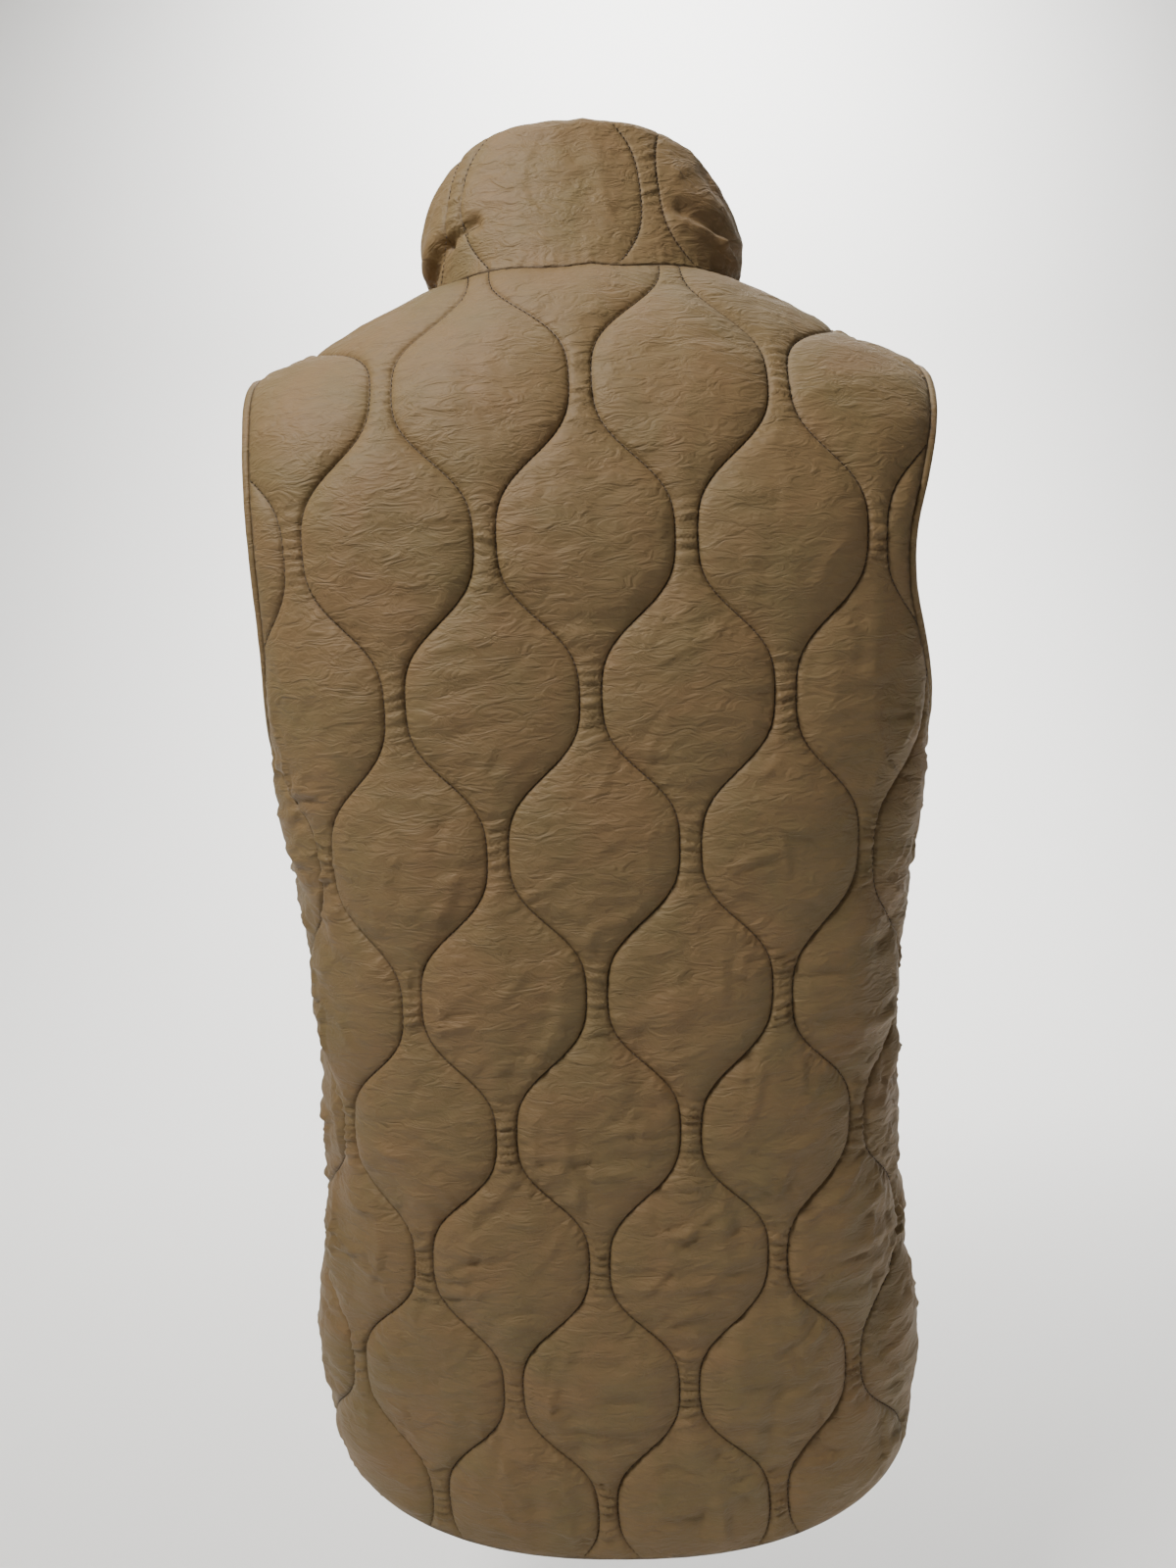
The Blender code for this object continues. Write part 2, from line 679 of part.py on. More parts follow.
def quilted_piece(name, surface, edges, lines, folds, thickness, step, extra_inner=()):
    """A quilted wall: raised cells outside, a plain skin inside, a rim round both."""
    outline = np.concatenate([edge.path[:-1] for edge in edges])
    stretches = cut_lines(lines, outline)
    ring = spaced_outline(edges, stretches)
    closed = np.concatenate([ring, ring[:1]])

    seams = []
    for stretch in stretches:
        length = running_length(stretch)[-1]
        seams.append(along(stretch, np.linspace(0, length, max(round(length / LINE_STEP), 2) + 1)))
    kept = [dense(closed)] + [dense(seam) for seam in seams]
    loose = clear_points(hex_grid(ring, step), ring, kept, 0.58 * step)
    outer_flat, outer_faces, outer_ring = triangulate(ring, seams, loose)

    inner_loose = clear_points(hex_grid(ring, INNER_STEP), ring, kept[:1], 0.5 * INNER_STEP)
    for row in extra_inner:
        inner_loose = inner_loose[nearest_distance([row], *inner_loose.T) > 0.3 * INNER_STEP]
    for row in extra_inner:
        row = clear_points(row, ring, kept[:1], SMALLEST_STEP / 2)
        inner_loose = np.concatenate([inner_loose, row])
    inner_flat, inner_faces, inner_ring = triangulate(ring, [], inner_loose)

    u, v = outer_flat.T
    to_line = nearest_distance(stretches, u, v)
    outer_lift, inner_lift = thickness(edges, u, v, to_line, inner_flat)
    raised = 1 - np.exp(-to_line / PUFF_SOFTNESS)
    outer_lift = outer_lift + fold_lift(folds, u, v) * raised * edge_fade(edges, u, v, EDGE_SOFTNESS)
    outer = surface.at(u, v, outer_lift)
    inner = surface.at(*inner_flat.T, inner_lift)

    count = len(outer)
    faces = [tuple(face) for face in outer_faces]
    faces += [tuple(k + count for k in face) for face in inner_faces]
    loops = list(zip(outer_ring, [k + count for k in inner_ring]))
    for (a, b), (c, d) in zip(loops, loops[1:] + loops[:1]):
        faces.append((a, c, d, b))
    put_mesh(name, np.concatenate([outer, inner]), faces, "quilted_nylon")
    return ring


def edge_fade(edges, u, v, softness):
    """A factor that falls from 1 to 0 towards every edge of a piece."""
    return 1 - np.exp(-nearest_distance([edge.path for edge in edges], u, v) / softness)


def panel_thickness(edges, u, v, to_line, inner_flat):
    """Lifts of a panel's two skins: padded cells that thin out to the seams."""
    lift = PUFF * (1 - np.exp(-to_line / PUFF_SOFTNESS)) * edge_fade(edges, u, v, EDGE_SOFTNESS)
    lower = ease((v - SHOULDER_PUFF_FROM) / SHOULDER_PUFF_REACH)
    lift = lift * (SHOULDER_PUFF + (1 - SHOULDER_PUFF) * lower)
    for edge in edges:
        if edge.keeps:
            away = nearest_distance([edge.path], u, v)
            lift = lift + edge.keeps * np.exp(-away / EDGE_SOFTNESS)
    return lift, -WALL


def ease(value):
    """A smooth step from 0 to 1."""
    value = np.clip(value, 0, 1)
    return value * value * (3 - 2 * value)


def collar_thickness(edges, u, v, to_line, inner_flat):
    """Lifts of the collar's two skins, which meet in a rolled top edge."""
    ends, top = [edges[1].path, edges[3].path], [edges[2].path]
    fade = 1 - np.exp(-nearest_distance([*ends, edges[0].path], u, v) / EDGE_SOFTNESS)
    puff = COLLAR_PUFF * (1 - np.exp(-to_line / PUFF_SOFTNESS)) * fade

    def rolled(a, b, full, edge_lift):
        away = np.clip(nearest_distance(top, a, b) / COLLAR_ROLL, 0, 1)
        return edge_lift + (full - edge_lift) * np.sqrt(1 - (1 - away) ** 2)

    outer = rolled(u, v, puff, COLLAR_EDGE / 2)
    a, b = inner_flat.T
    away = nearest_distance(ends, a, b)
    pad = COLLAR_PAD * ease((away - COLLAR_PAD_START) / COLLAR_PAD_START) * ease(-b / COLLAR_PAD_START)
    return outer, rolled(a, b, -WALL - pad, -COLLAR_EDGE / 2)


# ---------------------------------------------------------------- collar surface

def collar_surface(back, front):
    """The collar's surface. Its u runs round from centre back, and its v is less than 0."""
    fine = np.linspace(0, math.pi, 361)
    x, y = neck_plan(fine)
    length = running_length(np.stack([x, y], axis=1))
    half = length[-1]
    u = np.linspace(-half - COLLAR_PAST_END, half + COLLAR_PAST_END, COLLAR_U_COUNT)
    v = np.arange(*COLLAR_V)
    columns = []
    for place in u:
        round_place = half - abs(half - abs(place))
        angle = np.interp(round_place, length, fine)
        sign = math.copysign(1, place) if abs(place) <= half else -math.copysign(1, place)
        seam, leave = seam_point(back, front, angle)
        goal = collar_top(angle, sign)
        bend = seam + leave * sideways(angle, COLLAR_BEND, COLLAR_SIDE_BEND)
        outward = unit(goal * np.array([1, 1, 0])) * sideways(angle, COLLAR_BULGE, COLLAR_SIDE_BULGE)
        rise = goal + outward - np.array([0, 0, COLLAR_RISE])
        t = np.linspace(0, 1, 60)[:, None]
        curve = seam * (1 - t) ** 3 + goal * t ** 3
        curve += 3 * bend * t * (1 - t) ** 2 + 3 * rise * t ** 2 * (1 - t)
        curve *= np.array([sign, 1, 1])
        past = curve[-1] + unit(curve[-1] - curve[-4]) * np.arange(1, 60)[:, None]
        columns.append(along(np.concatenate([curve, past]), -v))
    surface = Surface(u, v, np.stack(columns, axis=1), 1)
    surface.half = half
    return surface


def sideways(angle, ahead, beside):
    """A size that goes from one value at the centre lines to another at the sides."""
    return ahead + (beside - ahead) * math.sin(angle) ** 2


def seam_point(back, front, angle):
    """A point of the collar seam, and the direction in which the panel's cloth leaves it."""
    surface = back if angle <= NECK_SHOULDER_ANGLE else front
    plan = np.array([neck_plan(np.array([angle + k])) for k in (-0.01, 0, 0.01)])[..., 0]
    guess = np.full(len(plan), NECK_GUESS)
    u, v = surface.locate(plan[:, 0], plan[:, 1], plan[:, 0].copy(), guess)
    points = surface.at(u, v)
    run = unit(points[2] - points[0])
    leave = np.cross(run, surface.normal(u[1:2], v[1:2])[0])
    inward = np.array([-points[1][0], -points[1][1], 40])
    return points[1], unit(leave) * math.copysign(1, leave @ inward)


def collar_top(angle, sign):
    """A point of the collar's top edge on the left (1) or right (-1), drawn on the left."""
    mean = (COLLAR_TOP_BACK + COLLAR_TOP_FRONT) / 2
    level_part = (mean + COLLAR_TOP_SIDE) / 2
    height = level_part + (COLLAR_TOP_BACK - COLLAR_TOP_FRONT) / 2 * math.cos(angle)
    height += (mean - COLLAR_TOP_SIDE) / 2 * math.cos(2 * angle)
    height += sign * COLLAR_TILT * math.sin(angle) ** 2
    depth = COLLAR_TOP_DEPTH_BACK if math.cos(angle) > 0 else COLLAR_TOP_DEPTH_FRONT
    power = 2 / COLLAR_TOP_SQUARENESS
    x = COLLAR_TOP_HALF_WIDTH * abs(math.sin(angle)) ** power + sign * COLLAR_SHIFT
    y = depth * math.copysign(abs(math.cos(angle)) ** power, math.cos(angle))
    return np.array([x, y, height])


def collar_length(back, front, surface, u):
    """Cloth distance from the collar seam to the top edge at distances u."""
    fine = np.linspace(0, math.pi, 361)
    length = running_length(np.stack(neck_plan(fine), axis=1))
    found = []
    for place in u:
        sign = math.copysign(1, place)
        goal = collar_top(float(np.interp(abs(place), length, fine)), sign) * np.array([sign, 1, 1])
        tries = np.arange(*COLLAR_SEARCH)
        away = np.linalg.norm(surface.at(np.full(len(tries), place), tries) - goal, axis=1)
        found.append(tries[np.argmin(away)])
    return np.array(found)


def collar_edges(back, front, surface):
    """The collar's outline: seam, left end, rolled top, right end."""
    end = surface.half - FRONT_EDGE
    u = np.linspace(-end, end, 241)
    top = collar_length(back, front, surface, u)
    low = -SEAM_GAP
    return [
        straight_edge((-end, low), (end, low), NECK_STEP),
        straight_edge((end, low), (end, top[-1]), OUTER_STEP),
        Edge(np.stack([u, top], axis=1)[::-1], OUTER_STEP),
        straight_edge((-end, top[0]), (-end, low), OUTER_STEP),
    ]


# ---------------------------------------------------------------- strips

def strip_faces(stations, closed):
    """Faces of a four-sided strip through a number of stations."""
    faces = []
    last = stations if closed else stations - 1
    for k in range(last):
        here, after = 4 * k, 4 * ((k + 1) % stations)
        for a in range(4):
            b = (a + 1) % 4
            faces.append((here + a, here + b, after + b, after + a))
    if not closed:
        faces.append((0, 1, 2, 3))
        end = 4 * (stations - 1)
        faces.append((end, end + 3, end + 2, end + 1))
    return faces


def ring_on_edge(ring, path):
    """The points of a piece's ring that lie on one stretch, in its order."""
    places = np.array([place_on(path, point) for point in ring])
    away = np.linalg.norm(along(path, places) - ring, axis=1)
    on_edge = away < 0.05
    return ring[on_edge][np.argsort(places[on_edge])]


def armhole_band(name, sign, *sides):
    """The narrow strip that finishes one armhole, as one closed loop.

    Each of its two sides is given as a surface, the panel's ring and its armhole.
    """
    rows = []
    for sense, (surface, ring, edge) in zip((1, -1), sides):
        flat = ring_on_edge(ring, edge.path * np.array([sign, 1]))
        points = surface.at(*flat.T)
        normals = surface.normal(*flat.T)
        outward = unit(np.cross(normals, np.gradient(points, axis=0)))
        middle = np.array([sign * SHOULDER_TIP, 0, -150])
        outward *= np.sign(np.sum(outward * (middle - points), axis=1))[:, None]
        found = list(zip(points, normals, outward))
        rows.extend(found[1:] if sense > 0 else found[::-1][1:])
    corners = []
    outer_edge = SEAM_GAP + BAND_WIDTH
    for point, normal, outward in rows:
        for across, lift in ((SEAM_GAP, BAND_BOTTOM), (SEAM_GAP, BAND_TOP),
                             (outer_edge, BAND_TOP), (outer_edge, BAND_BOTTOM)):
            corners.append(point + outward * across + normal * lift)
    return put_mesh(name, np.array(corners), strip_faces(len(rows), closed=True), "quilted_nylon")


class ZipPath:
    """The zip's way up the front edges and on up the collar's ends."""

    def __init__(self, front, collar, front_half, collar_parts):
        self.front = front
        self.collar = collar
        self.foot = front_half["hem"].path[0, 1] - ZIP_FOOT
        self.seam = front_half["neckline"].path[-1, 1]
        self.head = collar_parts[1].path[-1, 1] + ZIP_HEAD

    def line(self, across, lift, places):
        """Points beside the zip's middle, at distances up from its foot."""
        up_front = self.foot - self.seam
        on_front = places < up_front - 1
        v = self.foot - places[on_front]
        lower = self.front.at(np.full(len(v), across), v, lift)
        v = -(places[~on_front] - up_front)
        u = math.copysign(self.collar.half - abs(across), across if across else 1)
        upper = self.collar.at(np.full(len(v), u), v, lift)
        return np.concatenate([lower, upper])

    def stations(self, start, end):
        """Distances up the zip, closer together where it bends into the collar."""
        bend = self.foot - self.seam - BEND_REACH
        lower = zip_steps(start, min(bend, end), STRIP_STEP)
        upper = zip_steps(max(bend, start), end, BEND_STEP)
        return np.unique(np.concatenate([lower, upper]))

    @property
    def length(self):
        """Distance from the zip's foot to its head."""
        return self.foot - self.seam - self.head

    def frame(self, place, lift):
        """A placing with x to the wearer's left, y into the vest and z up the zip."""
        ends = np.array([place - 3, place + 3])
        left, right = self.line(4.0, lift, ends), self.line(-4.0, lift, ends)
        middle = (left + right) / 2
        up = unit(middle[1] - middle[0])
        beside = left[0] - right[0]
        across = unit(beside - up * (beside @ up))
        inward = np.cross(up, across)
        matrix = Matrix([tuple(row) for row in np.stack([across, inward, up], axis=1)]).to_4x4()
        matrix.translation = Vector(middle.mean(axis=0))
        return matrix


def zip_steps(start, end, step):
    """Even steps between two distances, with none if they are out of order."""
    if end <= start:
        return np.array([])
    return np.linspace(start, end, max(round((end - start) / step), 1) + 1)


def zip_strip(name, path, sides, lifts, ends, material):
    """A flat strip that follows the zip between two distances from its middle."""
    near, far = sides
    low, high = lifts
    places = path.stations(*ends)
    corners = [path.line(a, b, places) for a, b in ((near, low), (near, high), (far, high), (far, low))]
    stations = len(corners[0])
    points = np.stack(corners, axis=1).reshape(-1, 3)
    return put_mesh(name, points, strip_faces(stations, closed=False), material)


# ---------------------------------------------------------------- slider and pull

def prism(outline, low, high):
    """Points and faces of an upright prism over an outline given as (x, z) pairs."""
    count = len(outline)
    points = [(x, -low, z) for x, z in outline] + [(x, -high, z) for x, z in outline]
    faces = [tuple(range(count)), tuple(range(2 * count - 1, count - 1, -1))]
    for k in range(count):
        after = (k + 1) % count
        faces.append((k, k + count, after + count, after))
    return np.array(points), faces


def slider_plate():
    """The slider's upper plate: wider at its head, with cut corners."""
    half = SLIDER_LENGTH / 2
    cut = 1.8
    outline = [
        (-SLIDER_FOOT_HALF_WIDTH, -half), (SLIDER_FOOT_HALF_WIDTH, -half),
        (SLIDER_FOOT_HALF_WIDTH + 0.4, 0), (SLIDER_HALF_WIDTH, half - cut),
        (SLIDER_HALF_WIDTH - cut, half), (-SLIDER_HALF_WIDTH + cut, half),
        (-SLIDER_HALF_WIDTH, half - cut), (-SLIDER_FOOT_HALF_WIDTH - 0.4, 0),
    ]
    return prism(outline, 0, SLIDER_THICKNESS)


def bridge_arch():
    """The bow on the slider that holds the pull tab, rooted in the plate."""
    reach = BRIDGE_HALF_LENGTH
    inner = reach - BRIDGE_WALL
    root = SLIDER_THICKNESS / 2
    top = SLIDER_THICKNESS + BRIDGE_HEIGHT
    under = top - BRIDGE_WALL
    round_off = 1.1
    profile = [
        (-reach, root), (-reach, top - round_off), (-reach + round_off, top),
        (reach - round_off, top), (reach, top - round_off), (reach, root),
        (inner, root), (inner, under - 0.3), (inner - 0.3, under),
        (-inner + 0.3, under), (-inner, under - 0.3), (-inner, root),
    ]
    count = len(profile)
    points = []
    for x in (-BRIDGE_HALF_WIDTH, BRIDGE_HALF_WIDTH):
        points += [(x, -rise, z) for z, rise in profile]
    quads = ((0, 1, 10, 11), (1, 2, 9, 10), (2, 3, 8, 9), (3, 4, 7, 8), (4, 5, 6, 7))
    faces = [*quads, *(tuple(k + count for k in quad[::-1]) for quad in quads)]
    for k in range(count):
        after = (k + 1) % count
        faces.append((k, k + count, after + count, after))
    return np.array(points), faces


def pull_tab():
    """The pull tab, hanging from a bar through the bow. Its bar is at the origin."""
    wide, eye = PULL_HALF_WIDTH, PULL_EYE_HALF_WIDTH
    cut = 1.6
    outer = [
        (-wide + 0.8, PULL_BAR), (wide - 0.8, PULL_BAR), (wide - 0.4, -3), (wide - 0.4, -9),
        (wide, -PULL_LENGTH + cut), (wide - cut, -PULL_LENGTH),
        (-wide + cut, -PULL_LENGTH), (-wide, -PULL_LENGTH + cut), (-wide + 0.4, -9), (-wide + 0.4, -3),
    ]
    low, high = -PULL_EYE_LENGTH, -PULL_BAR
    inner = [
        (-eye, high), (eye, high), (eye, -2.5), (eye, low + 1), (eye - 0.4, low + 0.3), (eye - 1, low),
        (-eye + 1, low), (-eye + 0.4, low + 0.3), (-eye, low + 1), (-eye, -2.5),
    ]
    count = len(outer)
    points = []
    for depth in (-PULL_THICKNESS / 2, PULL_THICKNESS / 2):
        points += [(x, depth, z) for x, z in outer] + [(x, depth, z) for x, z in inner]
    faces = []
    for k in range(count):
        after = (k + 1) % count
        ring = (k, after, after + count, k + count)
        faces.append(ring)
        faces.append(tuple(n + 2 * count for n in ring[::-1]))
        faces.append((k, k + 2 * count, after + 2 * count, after))
        faces.append((after + count, after + 3 * count, k + 3 * count, k + count))
    return np.array(points, dtype=float), faces


# ---------------------------------------------------------------- objects

MATERIALS = {
    "quilted_nylon": (NYLON_COLOUR, 0.55, 0.0),
    "zip_tape": (TAPE_COLOUR, 0.8, 0.0),
    "zip_metal": (METAL_COLOUR, 0.35, 0.9),
}


def own_material(name, finish):
    """A material of its own for one piece."""
    colour, roughness, metallic = MATERIALS[finish]
    material = bpy.data.materials.new(name + "_" + finish)
    material.use_nodes = True
    shader = material.node_tree.nodes["Principled BSDF"]
    shader.inputs["Base Color"].default_value = (*colour, 1.0)
    shader.inputs["Roughness"].default_value = roughness
    shader.inputs["Metallic"].default_value = metallic
    return material


def put_mesh(name, points, faces, finish, matrix=None):
    """A new object from points in millimetres, with its faces pointing out."""
    mesh = bpy.data.meshes.new(name)
    mesh.from_pydata([tuple(p) for p in np.asarray(points) * MM], [], [tuple(f) for f in faces])
    work = bmesh.new()
    work.from_mesh(mesh)
    bmesh.ops.recalc_face_normals(work, faces=work.faces)
    bmesh.ops.triangulate(work, faces=work.faces)
    work.to_mesh(mesh)
    work.free()
    mesh.shade_smooth()
    mesh.set_sharp_from_angle(angle=SHARP_ANGLE)
    piece = bpy.data.objects.new(name, mesh)
    bpy.context.collection.objects.link(piece)
    mesh.materials.append(own_material(name, finish))
    if matrix is not None:
        placed = matrix.copy()
        placed.translation = matrix.translation * MM
        piece.matrix_world = placed
    return piece


def make_panels(back, front, halves):
    """The back and the two fronts."""
    edges = list(halves["back_left"].values())
    edges += [edge.flipped().reversed() for edge in list(halves["back_right"].values())[::-1]]
    lines = stitch_lines("back", LINE_REACH, LINE_DOWN)
    ring = quilted_piece("back", back, edges, lines, BACK_FOLDS, panel_thickness, OUTER_STEP)
    rings = {"back": ring}

    edges = list(halves["front"].values())
    edges.append(straight_edge(edges[-1].path[-1], edges[0].path[0], OUTER_STEP))
    lines = stitch_lines("front", LINE_REACH, LINE_DOWN)
    foot, seam = edges[0].path[0, 1], edges[4].path[-1, 1]
    bend = seam + BEND_REACH
    v = np.concatenate([np.arange(seam, bend, BEND_STEP), np.arange(bend, foot, STRIP_STEP)])
    zip_row = np.stack([np.full(len(v), FRONT_EDGE + ZIP_INNER_ROW), v], axis=1)
    rings["left"] = quilted_piece(
        "front_left", front, edges, lines, FRONT_FOLDS, panel_thickness, OUTER_STEP, [zip_row])

    flip = np.array([-1, 1])
    folds = dict(FRONT_FOLDS, u0=-FRONT_FOLDS["u0"], u1=-FRONT_FOLDS["u1"])
    edges = [edge.flipped() for edge in edges]
    lines = [line * flip for line in lines]
    rings["right"] = quilted_piece(
        "front_right", front, edges, lines, folds, panel_thickness, OUTER_STEP, [zip_row * flip])
    return rings


def make_collar(surface, edges):
    """The quilted collar."""
    lines = stitch_lines("collar", surface.half, COLLAR_LINE_DOWN, sag=False)
    top = edges[2].path
    places = np.arange(OUTER_STEP / 2, running_length(top)[-1], OUTER_STEP)
    rows = [along(top + np.array([0, depth]), places) for depth in (ROLL_ROW, COLLAR_ROLL)]
    beside_zip = surface.half - FRONT_EDGE - ZIP_INNER_ROW
    for u in (-beside_zip, beside_zip):
        v = np.arange(top[:, 1].min(), 0, BEND_STEP)
        rows.append(np.stack([np.full(len(v), u), v], axis=1))
    quilted_piece("collar", surface, edges, lines, COLLAR_FOLDS, collar_thickness, COLLAR_STEP, rows)


def make_zip(path):
    """Tapes, closed chain, box, slider and pull tab."""
    for name, sign in (("zip_tape_left", 1), ("zip_tape_right", -1)):
        sides = (sign * TAPE_INNER, sign * (TAPE_INNER + TAPE_WIDTH))
        lifts = (TAPE_TOP - TAPE_THICKNESS, TAPE_TOP)
        zip_strip(name, path, sides, lifts, (0, path.length), "zip_tape")
    sides, lifts = (-CHAIN_HALF_WIDTH, CHAIN_HALF_WIDTH), (CHAIN_BOTTOM, CHAIN_TOP)
    zip_strip("zip_chain", path, sides, lifts, (BOX_LENGTH + SEAM_GAP, path.length - 1), "zip_metal")
    sides, lifts = (-BOX_HALF_WIDTH, BOX_HALF_WIDTH), (CHAIN_BOTTOM, BOX_TOP)
    zip_strip("zip_box", path, sides, lifts, (0, BOX_LENGTH), "zip_metal")

    place = path.length - 2 - SLIDER_LENGTH / 2
    seat = path.frame(place, CHAIN_TOP + SEAM_GAP)
    slider = put_mesh("zip_slider", *slider_plate(), "zip_metal", seat)
    bow = put_mesh("bow_cutter", *bridge_arch(), "zip_metal", seat)
    bow.hide_render = True
    bow.display_type = "WIRE"
    join = slider.modifiers.new("bow", "BOOLEAN")
    join.operation = "UNION"
    join.solver = "EXACT"
    join.object = bow

    pivot = seat @ Vector((0, -(SLIDER_THICKNESS + PIVOT_HEIGHT), 0))
    across = (seat.to_3x3() @ Vector((1, 0, 0))).normalized()
    upright = (Vector((0, 0, 1)) - across * across.z).normalized()
    hang = Matrix((across, upright.cross(across), upright)).transposed().to_4x4()
    hang.translation = pivot
    put_mesh("zip_pull", *pull_tab(), "zip_metal", hang)


def build():
    """Clear the scene and make every piece."""
    for old in list(bpy.data.objects):
        bpy.data.objects.remove(old, do_unlink=True)
    back = body_surface(1)
    front = body_surface(-1)
    halves = {
        "back_left": half_outline(back, 1, ARMHOLE_PULL["left"]),
        "back_right": half_outline(back, 1, ARMHOLE_PULL["right"]),
        "front": half_outline(front, -1),
    }
    rings = make_panels(back, front, halves)
    collar = collar_surface(back, front)
    edges = collar_edges(back, front, collar)
    make_collar(collar, edges)
    for hand, sign in (("left", 1), ("right", -1)):
        behind = (back, rings["back"], halves["back_" + hand]["armhole"])
        ahead = (front, rings[hand], halves["front"]["armhole"])
        armhole_band("armhole_band_" + hand, sign, behind, ahead)
    make_zip(ZipPath(front, collar, halves["front"], edges))


build()
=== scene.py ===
# %% [markdown]
# # A quilted vest, dressed over its solids
#
# The solids that come from the model's source have the vest's true shape with coarse
# padding. This file sews the visible vest over them: fine padded cloth with puckered
# quilting, thread, bound armholes, a woven zip tape and metal teeth. A cloth point is
# named by u, its distance round the body, and v, its distance down the cloth, both in
# millimetres, exactly as in the model's source, so every piece falls where its solid is.

import math

import bmesh
import bpy
import numpy as np
from mathutils import Matrix, Vector
from mathutils.geometry import delaunay_2d_cdt
from mathutils.kdtree import KDTree


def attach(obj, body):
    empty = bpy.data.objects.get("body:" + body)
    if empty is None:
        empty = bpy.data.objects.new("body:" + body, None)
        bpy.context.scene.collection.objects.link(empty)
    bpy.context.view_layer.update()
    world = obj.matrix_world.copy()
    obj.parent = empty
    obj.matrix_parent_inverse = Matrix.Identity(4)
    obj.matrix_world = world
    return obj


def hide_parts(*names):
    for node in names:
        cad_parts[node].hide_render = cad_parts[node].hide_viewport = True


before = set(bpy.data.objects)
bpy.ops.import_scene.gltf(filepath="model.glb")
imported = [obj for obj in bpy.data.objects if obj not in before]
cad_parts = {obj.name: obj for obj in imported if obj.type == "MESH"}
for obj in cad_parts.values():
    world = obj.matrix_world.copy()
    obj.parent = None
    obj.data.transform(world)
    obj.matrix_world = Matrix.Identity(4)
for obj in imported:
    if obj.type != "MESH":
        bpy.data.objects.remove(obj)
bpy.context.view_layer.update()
print("nodes", sorted(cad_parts))

# %% [markdown]
# ## The worn body
#
# Cloth on a body has no corners, so its shape comes from a few rings: how wide and how
# deep the body is at some heights, and how the shoulders round off. A smooth curve
# through those few values gives every height between them. Modelling the vest as a
# surface over (u, v) is like laying the flat pattern piece on the body: quilting drawn
# on the flat piece keeps its real spacing wherever the body curves.

# %% Sizes of the body, in millimetres and degrees
MM = 0.001


def table(columns, *rows):
    """A short table of sizes: one array for each named column."""
    return dict(zip(columns, np.array(rows, dtype=float).T))


LEVELS = table(
    ("height", "half_width", "back_depth", "front_depth", "squareness", "turn", "sway"),
    (-800, 180, 87, 104, 2.35, -3.6, -5),
    (-640, 190, 100, 107, 2.4, -3.3, 0),
    (-500, 176, 110, 112, 2.8, -1.7, 0),
    (-380, 178, 118, 116, 3.0, -0.6, 0),
    (-260, 196, 125, 121, 3.05, 0.0, 0),
    (-140, 218, 131, 122, 3.2, 0.0, 0),
    (-40, 240, 131, 117, 3.1, 0.0, 0),
    (80, 260, 129, 110, 3.0, 0.0, 0),
)
FRONT_ROUNDER = 0.25
SHOULDER = table(
    ("across", "ridge", "back_drop", "front_drop"),
    (0, 41, 199, 220),
    (50, 27, 174, 205),
    (90, 4, 153, 170),
    (150, -25, 128, 140),
    (200, -42, 122, 125),
)
NECK_DIP = 62
NECK_DIP_POWER = 3
SHOULDER_LEVEL = -50
RIDGE_DEPTH = -10
CAP_SQUARENESS = 2.3
PAST_RIDGE = math.radians(25)
SHOULDER_SEARCH = (-85, 60, 1.0)
CHEST_HEIGHT = -260
CHEST_DOWN = 269.6

# %% How finely the surfaces are worked out, in millimetres and counts
GRID_U = (-300.0, 300.1)
GRID_V = (-90.0, 800.1)
GRID_STEP = 3.0
RING_POINTS = 241
RINGS = 221
CAP_POINTS = 90
STRAIGHT_POINTS = 200

# %% Curves
def curve_through(knots, values, x):
    """A smooth curve through a few values, held level past both ends."""
    slopes = np.gradient(values, knots)
    x = np.clip(x, knots[0], knots[-1])
    i = np.clip(np.searchsorted(knots, x) - 1, 0, len(knots) - 2)
    step = knots[i + 1] - knots[i]
    t = (x - knots[i]) / step
    start = values[i] * (1 + 2 * t) * (1 - t) ** 2
    end = values[i + 1] * t ** 2 * (3 - 2 * t)
    leave = slopes[i] * step * t * (1 - t) ** 2
    arrive = slopes[i + 1] * step * t ** 2 * (t - 1)
    return start + end + leave + arrive


def running_length(path):
    """Distance along a path at each of its points."""
    steps = np.linalg.norm(np.diff(path, axis=0), axis=1)
    return np.concatenate([[0.0], np.cumsum(steps)])


def along(path, distances):
    """Points of a path at the given distances along it."""
    length = running_length(path)
    return np.stack([np.interp(distances, length, column) for column in path.T], axis=1)


def smooth_path(points, spacing=1.0):
    """A close row of points on a smooth curve through a few given ones."""
    length = running_length(points)
    fine = np.linspace(0, length[-1], int(length[-1] / spacing) + 2)
    return np.stack([curve_through(length, column, fine) for column in points.T], axis=1)


def unit(vectors):
    """The same directions with a length of 1."""
    size = np.linalg.norm(vectors, axis=-1, keepdims=True)
    return vectors / np.maximum(size, 1e-9)


def ease(value):
    """A smooth step from 0 to 1."""
    value = np.clip(value, 0, 1)
    return value * value * (3 - 2 * value)


